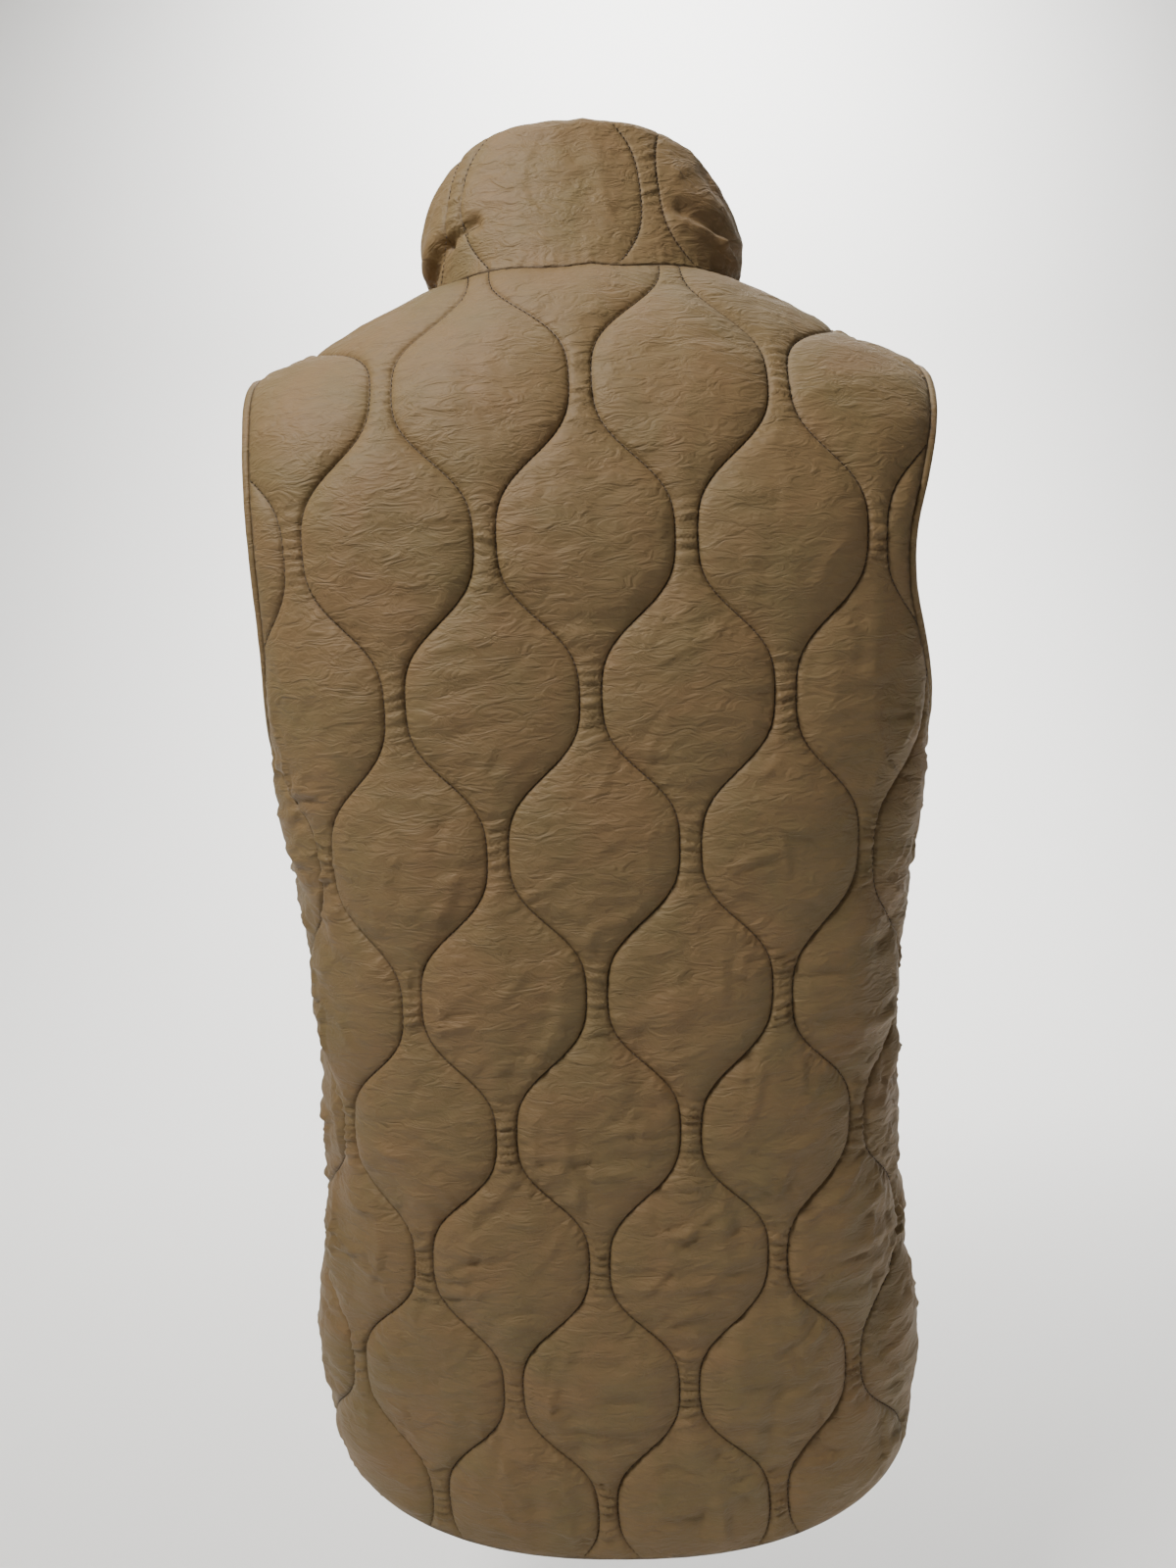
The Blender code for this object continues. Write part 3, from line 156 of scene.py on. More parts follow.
# %% The surface that every cloth piece lies on
class Surface:
    """A worn surface, tabulated over cloth coordinates u (across) and v (down)."""

    def __init__(self, u, v, points, facing, local_depth=None):
        self.u = u
        self.v = v
        self.points = points
        self.local_depth = local_depth
        across = np.gradient(points, u, axis=1)
        down = np.gradient(points, v, axis=0)
        self.normals = unit(np.cross(across, down) * facing)

    def blend(self, grid, u, v):
        """Value of a grid at cloth coordinates, between its nearest entries."""
        across = np.clip((u - self.u[0]) / (self.u[1] - self.u[0]), 0, len(self.u) - 1.001)
        down = np.clip((v - self.v[0]) / (self.v[1] - self.v[0]), 0, len(self.v) - 1.001)
        i = across.astype(int)
        j = down.astype(int)
        a = (across - i)[..., None]
        b = (down - j)[..., None]
        upper = grid[j, i] * (1 - a) + grid[j, i + 1] * a
        lower = grid[j + 1, i] * (1 - a) + grid[j + 1, i + 1] * a
        return upper * (1 - b) + lower * b

    def at(self, u, v, lift=0.0):
        """Points at cloth coordinates, moved out along the normal by lift."""
        u, v, lift = np.broadcast_arrays(*(np.asarray(k, dtype=float) for k in (u, v, lift)))
        return self.blend(self.points, u, v) + self.normal(u, v) * lift[..., None]

    def normal(self, u, v):
        """Outward normals at cloth coordinates."""
        return unit(self.blend(self.normals, np.asarray(u, float), np.asarray(v, float)))

    def locate(self, x, y, u, v):
        """Cloth coordinates of points given in plan, found from a first guess."""
        for _ in range(12):
            here = self.at(u, v)
            by_u = (self.at(u + 1, v) - here)[:, :2]
            by_v = (self.at(u, v + 1) - here)[:, :2]
            miss_x = x - here[:, 0]
            miss_y = y - here[:, 1]
            area = by_u[:, 0] * by_v[:, 1] - by_v[:, 0] * by_u[:, 1]
            u = u + np.clip((miss_x * by_v[:, 1] - miss_y * by_v[:, 0]) / area, -15, 15)
            v = v + np.clip((miss_y * by_u[:, 0] - miss_x * by_u[:, 1]) / area, -15, 15)
        return u, v


# %% One ring of the body, and the shoulder ridge
def level(name, height):
    """One column of the body's levels at any height."""
    return curve_through(LEVELS["height"], LEVELS[name], height)


def turned(points):
    """Points of the straight body, twisted and moved aside by the size at their height."""
    angle = np.radians(level("turn", points[..., 2]))
    x = points[..., 0] * np.cos(angle) - points[..., 1] * np.sin(angle)
    x = x + level("sway", points[..., 2])
    y = points[..., 0] * np.sin(angle) + points[..., 1] * np.cos(angle)
    return np.stack([x, y, points[..., 2]], axis=-1)


def half_ring(height, side):
    """One half of the body's outline at a height, from the centre line of one side."""
    near, far = ("back_depth", "front_depth") if side > 0 else ("front_depth", "back_depth")
    square = level("squareness", height) - np.array([0, FRONT_ROUNDER])
    if side < 0:
        square = square[::-1]
    angle = np.linspace(0, math.pi, RING_POINTS)
    power = np.where(angle < math.pi / 2, 2 / square[0], 2 / square[1])
    depth = np.where(angle < math.pi / 2, level(near, height), level(far, height))
    x = level("half_width", height) * np.abs(np.sin(angle)) ** power
    y = side * depth * np.sign(np.cos(angle)) * np.abs(np.cos(angle)) ** power
    return np.stack([x, y], axis=1)


def ridge_height(across, side):
    """Height of the shoulder ridge at a distance from the centre."""
    height = curve_through(SHOULDER["across"], SHOULDER["ridge"], across)
    if side < 0:
        height = height - NECK_DIP * max(1 - (across / NECK_HALF_WIDTH) ** NECK_DIP_POWER, 0) ** 2
    return height


# %% The worn back and front
def body_surface(side):
    """The worn back (side 1) or front (side -1), from its hem over the shoulder ridge."""
    u = np.arange(*GRID_U, GRID_STEP)
    v = np.arange(*GRID_V, GRID_STEP)
    heights = np.linspace(LEVELS["height"][-1], LEVELS["height"][0], RINGS)
    rings = []
    for height in heights:
        ring = half_ring(height, side)
        distance = running_length(ring)
        x = np.sign(u) * np.interp(np.abs(u), distance, ring[:, 0])
        y = np.interp(np.abs(u), distance, ring[:, 1])
        rings.append(np.stack([x, y], axis=1))
    rings = np.array(rings)

    drops = SHOULDER["back_drop"] if side > 0 else SHOULDER["front_drop"]
    angle = np.linspace(math.pi / 2 + PAST_RIDGE, 0, CAP_POINTS)
    risen = np.abs(np.sin(angle)) ** (2 / CAP_SQUARENESS)
    spread = np.sign(np.cos(angle)) * np.abs(np.cos(angle)) ** (2 / CAP_SQUARENESS)
    columns = []
    for k in range(len(u)):
        ridge = SHOULDER_LEVEL
        for _ in range(8):
            across = abs(np.interp(-ridge, -heights, rings[:, k, 0]))
            ridge = ridge_height(across, side)
        drop = curve_through(SHOULDER["across"], drops, across)
        cap = ridge - drop * (1 - risen)
        straight = np.linspace(ridge - drop, heights[-1], STRAIGHT_POINTS)[1:]
        height = np.concatenate([cap, straight])
        open_out = np.concatenate([spread, np.ones(len(straight))])
        x = np.interp(-height, -heights, rings[:, k, 0])
        y = np.interp(-height, -heights, rings[:, k, 1])
        y = RIDGE_DEPTH + (y - RIDGE_DEPTH) * open_out
        column = np.stack([x, y, height], axis=1)
        distance = running_length(column)
        top = int(np.argmax(height))
        chest = np.interp(-CHEST_HEIGHT, -height[top:], distance[top:])
        columns.append(along(column, v - CHEST_DOWN + chest))
    points = np.stack(columns, axis=1)
    return Surface(u, v, turned(points), side, local_depth=points[..., 1] * side)


# %% Where the seams lie
def side_seam(surface, v):
    """Distance round the body to the side seam at cloth heights v."""
    middle = len(surface.u) // 2
    rows = [np.interp(0, -row[middle:], surface.u[middle:]) for row in surface.local_depth]
    return np.interp(v, surface.v, rows)


def shoulder_seam(surface, u, side):
    """Cloth height of the shoulder seam at distances u, just on this side of the ridge."""
    depth = RIDGE_DEPTH + side * SEAM_GAP / 2
    tries = np.arange(*SHOULDER_SEARCH)[:, None]
    y = surface.at(np.broadcast_to(u, (len(tries), len(u))), tries)[..., 1] * side
    return np.array([np.interp(depth * side, column, tries[:, 0]) for column in y.T])


# %% [markdown]
# ## Cutting the pieces
#
# A maker cuts a back, two fronts and a collar. Each outline here is a closed chain of
# edges in cloth coordinates: hem, side seam, armhole, shoulder and neckline. The neck
# opening is an oval seen from above, so its edge is found on the surface by a search
# that starts near it. The wearer's right armhole is pulled in at the back, where the
# worn cloth folds under.

# %% Cut lines
SEAM_GAP = 0.3
NECK_HALF_WIDTH = 90
NECK_BACK = 85
NECK_FRONT = 86
NECK_SQUARENESS = 2.2
SHOULDER_TIP = 190
UNDERARM_DOWN = 308
HEM_DOWN = 759
HEM_RISE = 54
HEM_CURVE = 2.5
FRONT_HEM_DROP = 30
FRONT_EDGE = 4.0
ARMHOLE_BACK = table(
    ("down", "across"),
    (58, 192), (92, 189), (125, 187), (155, 186), (185, 188), (215, 194), (245, 206),
    (270, 221), (290, 239), (303, 256),
)
ARMHOLE_FRONT = table(
    ("down", "across"),
    (58, 178), (92, 168), (125, 162), (155, 160), (185, 162), (215, 169), (245, 181),
    (270, 197), (290, 218), (303, 240),
)
ARMHOLE_PULL = {"left": -5, "right": 20}
PULL_AT = 170
PULL_REACH = 62
NECK_SHOULDER_ANGLE = math.pi / 2 + math.asin((-RIDGE_DEPTH / NECK_FRONT) ** (NECK_SQUARENESS / 2))
NECK_POINTS = 60
NECK_SEARCH_FROM = -10.0
RIDGE_SEARCH = (60, 230, 171)


# %% The outline of one half
def neck_plan(angle):
    """The neck opening in plan, by the angle round it from centre back."""
    power = 2 / NECK_SQUARENESS
    depth = np.where(np.cos(angle) > 0, NECK_BACK, NECK_FRONT)
    x = NECK_HALF_WIDTH * np.sign(np.sin(angle)) * np.abs(np.sin(angle)) ** power
    y = depth * np.sign(np.cos(angle)) * np.abs(np.cos(angle)) ** power
    return x, y


def half_outline(surface, side, pull=0.0):
    """One half of the back or a front: hem, side seam, armhole, shoulder, neckline."""
    half_gap = SEAM_GAP / 2
    inner = 0.0 if side > 0 else FRONT_EDGE
    side_down = HEM_DOWN - HEM_RISE
    side_u = float(side_seam(surface, side_down)) - half_gap
    u = np.linspace(inner, side_u, 200)
    deepest = HEM_DOWN if side > 0 else side_down + FRONT_HEM_DROP
    hem = np.stack([u, deepest - (deepest - side_down) * (u / side_u) ** HEM_CURVE], axis=1)

    v = np.linspace(side_down, UNDERARM_DOWN, 300)
    seam = np.stack([side_seam(surface, v) - half_gap, v], axis=1)

    ridge_u = np.linspace(*RIDGE_SEARCH)
    ridge_v = shoulder_seam(surface, ridge_u, side)
    ridge_x = surface.at(ridge_u, ridge_v)[:, 0]
    tip_u = float(np.interp(SHOULDER_TIP, ridge_x, ridge_u))
    tip = (tip_u, float(np.interp(tip_u, ridge_u, ridge_v)))
    rows = ARMHOLE_BACK if side > 0 else ARMHOLE_FRONT
    across, down = rows["across"][::-1], rows["down"][::-1]
    across = across - pull * np.exp(-((down - PULL_AT) / PULL_REACH) ** 2)
    armhole = smooth_path(np.array([tuple(seam[-1]), *zip(across, down), tip]))

    ends = (0, NECK_SHOULDER_ANGLE) if side > 0 else (NECK_SHOULDER_ANGLE, math.pi)
    x, y = neck_plan(np.linspace(*ends, NECK_POINTS))
    x = x * (1 + half_gap / NECK_HALF_WIDTH)
    y = y * (1 + half_gap / NECK_BACK)
    neck_u, neck_v = surface.locate(x, y, x.copy(), np.full(NECK_POINTS, NECK_SEARCH_FROM))
    if side < 0:
        neck_u, neck_v = neck_u[::-1], neck_v[::-1]
        kept = neck_u > FRONT_EDGE
        neck_u = np.concatenate([[FRONT_EDGE], neck_u[kept]])
        neck_v = np.concatenate([[neck_v[0]], neck_v[kept]])
    neckline = np.stack([neck_u, neck_v], axis=1)[::-1]

    shoulder_u = np.linspace(tip_u, neckline[0, 0], 80)
    shoulder_v = np.interp(shoulder_u, ridge_u, ridge_v)
    neckline[0] = (shoulder_u[-1], shoulder_v[-1])
    shoulder = np.stack([shoulder_u, shoulder_v], axis=1)
    return {"hem": hem, "side": seam, "armhole": armhole, "shoulder": shoulder, "neckline": neckline}


def other_hand(path):
    """A stretch of outline on the other side of the body, run the other way."""
    return path[::-1] * np.array([-1, 1])


# %% Back and fronts, cut
back = body_surface(1)
front = body_surface(-1)
back_left = half_outline(back, 1, ARMHOLE_PULL["left"])
back_right = half_outline(back, 1, ARMHOLE_PULL["right"])
front_half = half_outline(front, -1)
back_edges = [*back_left.values(), *(other_hand(p) for p in list(back_right.values())[::-1])]
front_closing = np.linspace(front_half["neckline"][-1], front_half["hem"][0], 660)
front_edges = [*front_half.values(), front_closing]
print("side seam", round(running_length(front_half["side"])[-1]), "mm long")

# %% [markdown]
# ## The collar's surface
#
# The collar rises from the neck seam, leans out at the sides and curls in at its top, so
# each upright line on it is one smooth curve. A profile spun round an axis would be the
# same all round. Four points per curve, worked out for every angle from the sizes at the
# back, the sides and the front, let it be high at the back and low at the front.

# %% The collar's surface
COLLAR_TOP_BACK = 82
COLLAR_TOP_SIDE = 60
COLLAR_TOP_FRONT = 22
COLLAR_TILT = 4
COLLAR_TOP_HALF_WIDTH = 74
COLLAR_SHIFT = 1.5
COLLAR_TOP_DEPTH_BACK = 62
COLLAR_TOP_DEPTH_FRONT = 86
COLLAR_TOP_SQUARENESS = 2.2
COLLAR_BEND = 9
COLLAR_SIDE_BEND = 5
COLLAR_RISE = 29
COLLAR_BULGE = 6
COLLAR_SIDE_BULGE = 35.5
COLLAR_PUFF = 5.0
COLLAR_PAD = 3.0
COLLAR_PAD_START = 16
COLLAR_ROLL = 6.0
COLLAR_EDGE = 1.2
COLLAR_PAST_END = 15
COLLAR_COLUMNS = 201
COLLAR_ROWS = (-120.0, 0.1, 2.0)
COLLAR_CURVE_POINTS = 60
COLLAR_SEARCH = (-115, -40, 0.25)
COLLAR_SMOOTHING = 9
NECK_ROUND = np.linspace(0, math.pi, 361)
NECK_LENGTH = running_length(np.stack(neck_plan(NECK_ROUND), axis=1))


# %% One upright line of the collar
def sideways(angle, ahead, beside):
    """A size that goes from one value at the centre lines to another at the sides."""
    return ahead + (beside - ahead) * math.sin(angle) ** 2


def seam_point(angle):
    """A point of the collar seam, and the direction in which the panel's cloth leaves it."""
    surface = back if angle <= NECK_SHOULDER_ANGLE else front
    plan = np.array([neck_plan(np.array([angle + k])) for k in (-0.01, 0, 0.01)])[..., 0]
    u, v = surface.locate(plan[:, 0], plan[:, 1], plan[:, 0].copy(), np.full(3, NECK_SEARCH_FROM))
    points = surface.at(u, v)
    run = unit(points[2] - points[0])
    leave = np.cross(run, surface.normal(u[1:2], v[1:2])[0])
    inward = np.array([-points[1][0], -points[1][1], 40])
    return points[1], unit(leave) * math.copysign(1, leave @ inward)


def collar_top(angle, sign):
    """A point of the collar's top edge on the left (1) or right (-1), drawn on the left."""
    mean = (COLLAR_TOP_BACK + COLLAR_TOP_FRONT) / 2
    level_part = (mean + COLLAR_TOP_SIDE) / 2
    height = level_part + (COLLAR_TOP_BACK - COLLAR_TOP_FRONT) / 2 * math.cos(angle)
    height += (mean - COLLAR_TOP_SIDE) / 2 * math.cos(2 * angle)
    height += sign * COLLAR_TILT * math.sin(angle) ** 2
    depth = COLLAR_TOP_DEPTH_BACK if math.cos(angle) > 0 else COLLAR_TOP_DEPTH_FRONT
    power = 2 / COLLAR_TOP_SQUARENESS
    x = COLLAR_TOP_HALF_WIDTH * abs(math.sin(angle)) ** power + sign * COLLAR_SHIFT
    y = depth * math.copysign(abs(math.cos(angle)) ** power, math.cos(angle))
    return np.array([x, y, height])


# %% The whole collar
def collar_surface():
    """The collar's surface. Its u runs round from centre back, and its v is less than 0."""
    half = NECK_LENGTH[-1]
    u = np.linspace(-half - COLLAR_PAST_END, half + COLLAR_PAST_END, COLLAR_COLUMNS)
    v = np.arange(*COLLAR_ROWS)
    columns = []
    for place in u:
        round_place = half - abs(half - abs(place))
        angle = np.interp(round_place, NECK_LENGTH, NECK_ROUND)
        sign = math.copysign(1, place) if abs(place) <= half else -math.copysign(1, place)
        seam, leave = seam_point(angle)
        goal = collar_top(angle, sign)
        bend = seam + leave * sideways(angle, COLLAR_BEND, COLLAR_SIDE_BEND)
        outward = unit(goal * np.array([1, 1, 0])) * sideways(angle, COLLAR_BULGE, COLLAR_SIDE_BULGE)
        rise = goal + outward - np.array([0, 0, COLLAR_RISE])
        t = np.linspace(0, 1, COLLAR_CURVE_POINTS)[:, None]
        curve = seam * (1 - t) ** 3 + goal * t ** 3
        curve += 3 * bend * t * (1 - t) ** 2 + 3 * rise * t ** 2 * (1 - t)
        curve *= np.array([sign, 1, 1])
        past = curve[-1] + unit(curve[-1] - curve[-4]) * np.arange(1, COLLAR_CURVE_POINTS)[:, None]
        columns.append(along(np.concatenate([curve, past]), -v))
    surface = Surface(u, v, np.stack(columns, axis=1), 1)
    surface.half = half
    return surface


def collar_length(surface, u):
    """Cloth distance from the collar seam to the top edge at distances u."""
    found = []
    for place in u:
        sign = math.copysign(1, place)
        goal = collar_top(float(np.interp(abs(place), NECK_LENGTH, NECK_ROUND)), sign)
        goal = goal * np.array([sign, 1, 1])
        tries = np.arange(*COLLAR_SEARCH)
        away = np.linalg.norm(surface.at(np.full(len(tries), place), tries) - goal, axis=1)
        found.append(tries[np.argmin(away)])
    found = np.pad(found, COLLAR_SMOOTHING // 2, mode="edge")
    return np.convolve(found, np.full(COLLAR_SMOOTHING, 1 / COLLAR_SMOOTHING), mode="valid")


# %% Collar, cut
collar = collar_surface()
collar_end = collar.half - FRONT_EDGE
collar_u = np.linspace(-collar_end, collar_end, 241)
collar_v = collar_length(collar, collar_u)
collar_low = -SEAM_GAP
collar_edges = [
    np.linspace((-collar_end, collar_low), (collar_end, collar_low), 500),
    np.linspace((collar_end, collar_low), (collar_end, collar_v[-1]), 90),
    np.stack([collar_u, collar_v], axis=1)[::-1],
    np.linspace((-collar_end, collar_v[0]), (-collar_end, collar_low), 90),
]
print("collar", round(2 * collar_end), "mm round and", round(-collar_v[120]), "mm high at the back")

# %% [markdown]
# ## Quilting
#
# The machine sews pairs of waves that pinch to a narrow neck and open round a wide
# onion-shaped cell. The padding lifts the cloth between the lines, and because the
# stitches shorten the cloth along the line, the surplus gathers into small puckers.
# Beside a line they stand square to it, and across a neck they run level from one line
# to the other. The lines could be drawn as curves by hand. A formula was chosen, since
# two waves and a few sizes give every line of every piece.

# %% The stitched waves
NECK_GAP = 11.5
WAVE_FLATNESS = 0.09
SIDE_DROP = 11
SIDE_DROP_AT = 155
SIDE_DROP_DOWN = 395
SIDE_DROP_REACH = 150
LINES_EACH_WAY = 14
QUILTING = {
    "back": {"neck_u": 9, "neck_v": 75.6, "pitch": 103, "repeat": 162.5},
    "front": {"neck_u": 26, "neck_v": 75.6, "pitch": 103, "repeat": 162.5},
    "collar": {"neck_u": 82, "neck_v": -46, "pitch": 121, "repeat": 200},
}


# %% The lines of one piece
def wave(angle):
    """The stitched wave, from 1 to -1: rounder than a sine at its crests."""
    return (np.cos(angle) - WAVE_FLATNESS * np.cos(3 * angle)) / (1 - WAVE_FLATNESS)


def side_sag(u, v):
    """How far the quilted rows hang lower towards the side seams, below the armholes."""
    reach = np.exp(-((v - SIDE_DROP_DOWN) / SIDE_DROP_REACH) ** 2)
    return SIDE_DROP * (u / SIDE_DROP_AT) ** 2 * reach


class Quilting:
    """The stitched lines of one piece: rows of u over the same close steps of v."""

    def __init__(self, piece, reach, down, sag=1.0):
        sizes = QUILTING[piece]
        pitch = sizes["pitch"]
        self.v = np.arange(down[0], down[1], 1.0)
        swing = pitch / 4 - NECK_GAP / 2
        rows = []
        for number in range(-LINES_EACH_WAY, LINES_EACH_WAY + 1):
            middle = sizes["neck_u"] + (number + 0.5) * pitch / 2
            if abs(middle) > reach + pitch / 4:
                continue
            hung = self.v - sag * side_sag(middle, self.v)
            phase = 2 * math.pi * (hung - sizes["neck_v"]) / sizes["repeat"]
            sense = -1 if number % 2 == 0 else 1
            rows.append(middle + sense * swing * wave(phase))
        self.rows = np.array(rows)

    def lines(self):
        """Every line as cloth points."""
        return [np.stack([row, self.v], axis=1) for row in self.rows]

    def strip(self, u, v):
        """Each point's strip between two lines, its width there, and 0 at its middle to 1 at a line."""
        j = np.clip((v - self.v[0]).astype(int), 0, len(self.v) - 1)
        here = self.rows[:, j]
        number = (u > here).sum(axis=0)
        columns = np.arange(len(u))
        low = here[np.clip(number - 1, 0, len(here) - 1), columns]
        high = here[np.clip(number, 0, len(here) - 1), columns]
        width = np.where(high > low, high - low, 10 * NECK_GAP)
        across = np.where(high > low, np.abs(2 * u - low - high) / width, 1.0)
        return number, width, np.clip(across, 0, 1)


# %% Noise that is the same each run
def random_rows(seed, *shape):
    """A fixed table of random values from -1 to 1."""
    return np.random.default_rng(seed).uniform(-1, 1, shape)


def noise_along(x, values, row=None):
    """Smooth random values along one axis, with a row of them for each strip."""
    i = np.floor(x).astype(int)
    share = ease(x - i)
    size = values.shape[-1]
    if row is None:
        return values[i % size] * (1 - share) + values[(i + 1) % size] * share
    row = row % len(values)
    return values[row, i % size] * (1 - share) + values[row, (i + 1) % size] * share


def noise_over(x, y, values):
    """Smooth random values over a plane."""
    j = np.floor(y).astype(int)
    share = ease(y - j)
    upper = noise_along(x, values, j)
    lower = noise_along(x, values, j + 1)
    return upper * (1 - share) + lower * share


# %% [markdown]
# ## From a flat layout to a padded wall
#
# Each piece is meshed flat, in cloth coordinates, by a triangulation that keeps its
# outline and every stitched line as edges, so grooves stay sharp. The same layout is
# then lifted: outside by padding, puckers and folds, inside by the shallow quilting of
# the lining. A rim joins the two into one closed wall.

# %% Sizes of the meshes, in millimetres
OUTER_STEP = 2.85
STITCH_PITCH = 3.2
LINE_STEP = STITCH_PITCH / 2
ROWS_BESIDE = (0.75, 2.1, 4.0)
LADDER_WIDTH = 22
LADDER_STEP = 1.05
LADDER_STAGGER = 0.1
LADDER_SHARES = np.array([0.2, 0.4, 0.6, 0.8]) - LADDER_STAGGER / 2
INNER_STEP = 7.0
SEAM_STEP = 0.5
ROW_SLACK = 0.3
OUTER_CLEARANCE = 0.6
INNER_CLEARANCE = 0.5
ROW_CLEARANCE = 0.4
CHUNK = 4000


# %% Finding places on the flat piece
def inside(points, outline):
    """Which points lie inside a closed outline."""
    ax, ay = outline[:, 0], outline[:, 1]
    bx, by = np.roll(ax, -1), np.roll(ay, -1)
    rise = np.where(by == ay, 1e-9, by - ay)
    found = []
    for start in range(0, len(points), CHUNK):
        x, y = points[start:start + CHUNK, 0, None], points[start:start + CHUNK, 1, None]
        crossed = (ay > y) != (by > y)
        found.append(np.sum(crossed & (x < ax + (y - ay) * (bx - ax) / rise), axis=1) % 2 == 1)
    return np.concatenate(found)


def place_on(path, point):
    """Distance along a path to the place nearest to a point."""
    start, run = path[:-1], np.diff(path, axis=0)
    size = np.maximum(np.sum(run ** 2, axis=1), 1e-12)
    t = np.clip(np.sum((point - start) * run, axis=1) / size, 0, 1)
    away = np.linalg.norm(start + run * t[:, None] - point, axis=1)
    best = int(np.argmin(away))
    return running_length(path)[best] + t[best] * math.sqrt(size[best])


def nearest(rows, u, v):
    """Distance from each point to the nearest point of some rows, and that point's number."""
    places = np.concatenate(rows)
    tree = KDTree(len(places))
    for number, (a, b) in enumerate(places):
        tree.insert((a, b, 0), number)
    tree.balance()
    found = [tree.find((a, b, 0)) for a, b in zip(u, v)]
    return np.array([f[2] for f in found]), np.array([f[1] for f in found])


def dense(path, step=1.5):
    """A path with a point for every small step."""
    length = running_length(path)[-1]
    return along(path, np.linspace(0, length, int(length / step) + 2))


# %% Its outline, its stitched lines and its triangles
def cut_lines(lines, outline, shortest=14):
    """The stretches of the stitched lines that lie on the piece."""
    stretches = []
    for line in lines:
        on_piece = inside(line, outline)
        changes = np.flatnonzero(np.diff(on_piece.astype(int)))
        starts = [0] if on_piece[0] else []
        for change in changes:
            if on_piece[change + 1]:
                starts.append(change + 1)
            elif change + 1 - starts[-1] > shortest:
                stretches.append(line[starts[-1]:change + 1])
    return stretches


def spaced_outline(edges, stretches, step):
    """Points round a piece, with one at each corner and at each end of a line."""
    path = np.concatenate([edge[:-1] for edge in edges] + [edges[0][:1]])
    corners = np.cumsum([running_length(edge)[-1] for edge in edges])
    fixed = [0.0, *corners[:-1]]
    total = corners[-1]
    for stretch in stretches:
        for end in (stretch[0], stretch[-1]):
            place = place_on(path, end)
            gap = min(min(abs(place - k), total - abs(place - k)) for k in fixed)
            if gap > step / 2:
                fixed.append(place)
    fixed = sorted(fixed) + [total]
    places = []
    for start, end in zip(fixed[:-1], fixed[1:]):
        places.extend(np.linspace(start, end, max(round((end - start) / step), 1), endpoint=False))
    return along(path, np.array(places))


def hex_grid(outline, step):
    """Points of a triangular grid that covers an outline's box."""
    low, high = outline.min(axis=0), outline.max(axis=0)
    points = []
    for number, v in enumerate(np.arange(low[1], high[1], step * math.sqrt(3) / 2)):
        u = np.arange(low[0] + (number % 2) * step / 2, high[0], step)
        points.append(np.stack([u, np.full(len(u), v)], axis=1))
    return np.concatenate(points)


def triangulate(ring, lines, loose):
    """Triangles inside a ring that keep it and every line as edges."""
    points = [tuple(p) for p in ring]
    edges = []
    for line in lines:
        start = int(np.argmin(np.linalg.norm(ring - line[0], axis=1)))
        end = int(np.argmin(np.linalg.norm(ring - line[-1], axis=1)))
        inner = range(len(points), len(points) + len(line) - 2)
        points.extend(tuple(p) for p in line[1:-1])
        chain = [start, *inner, end]
        edges.extend(zip(chain[:-1], chain[1:]))
    points.extend(tuple(p) for p in loose)
    face = list(range(len(ring)))
    found = delaunay_2d_cdt([Vector(p) for p in points], edges, [face], 1, 1e-4)
    went = {old: new for new, olds in enumerate(found[3]) for old in olds}
    return np.array([tuple(p) for p in found[0]]), found[2], [went[k] for k in face]


# %% Closer points where the cloth gathers
def on_stitches(stretch):
    """Points of a stitched line, one at each needle hole and one between each two holes."""
    length = running_length(stretch)[-1]
    return along(stretch, np.append(np.arange(0, length - STITCH_PITCH / 4, STITCH_PITCH / 2), length))


def rows_beside(stretches, quilting):
    """Points beside every stitched line. In a neck only the nearest row is kept."""
    found = []
    for stretch in stretches:
        line = on_stitches(stretch)
        run = unit(np.gradient(line, axis=0))
        beside = np.stack([-run[:, 1], run[:, 0]], axis=1)
        for number, offset in enumerate(ROWS_BESIDE):
            for sense in (-1, 1):
                row = line + sense * offset * beside
                keep = nearest(stretches, *row.T)[0] > offset - ROW_SLACK
                if number > 0:
                    keep &= quilting.strip(*row.T)[1] > LADDER_WIDTH
                found.append(row[keep])
    return found


def ladders(quilting):
    """Close rungs of points across every narrow neck, where the cloth gathers most."""
    found = []
    for number, v in enumerate(np.arange(quilting.v[0], quilting.v[-1], LADDER_STEP)):
        at = np.array([np.interp(v, quilting.v, row) for row in quilting.rows])
        width = np.diff(at)
        for start, gap in zip(at[:-1][width < LADDER_WIDTH], width[width < LADDER_WIDTH]):
            shares = LADDER_SHARES if number % 2 else LADDER_SHARES + LADDER_STAGGER
            found.extend((start + gap * share, v) for share in shares)
    return np.array(found)


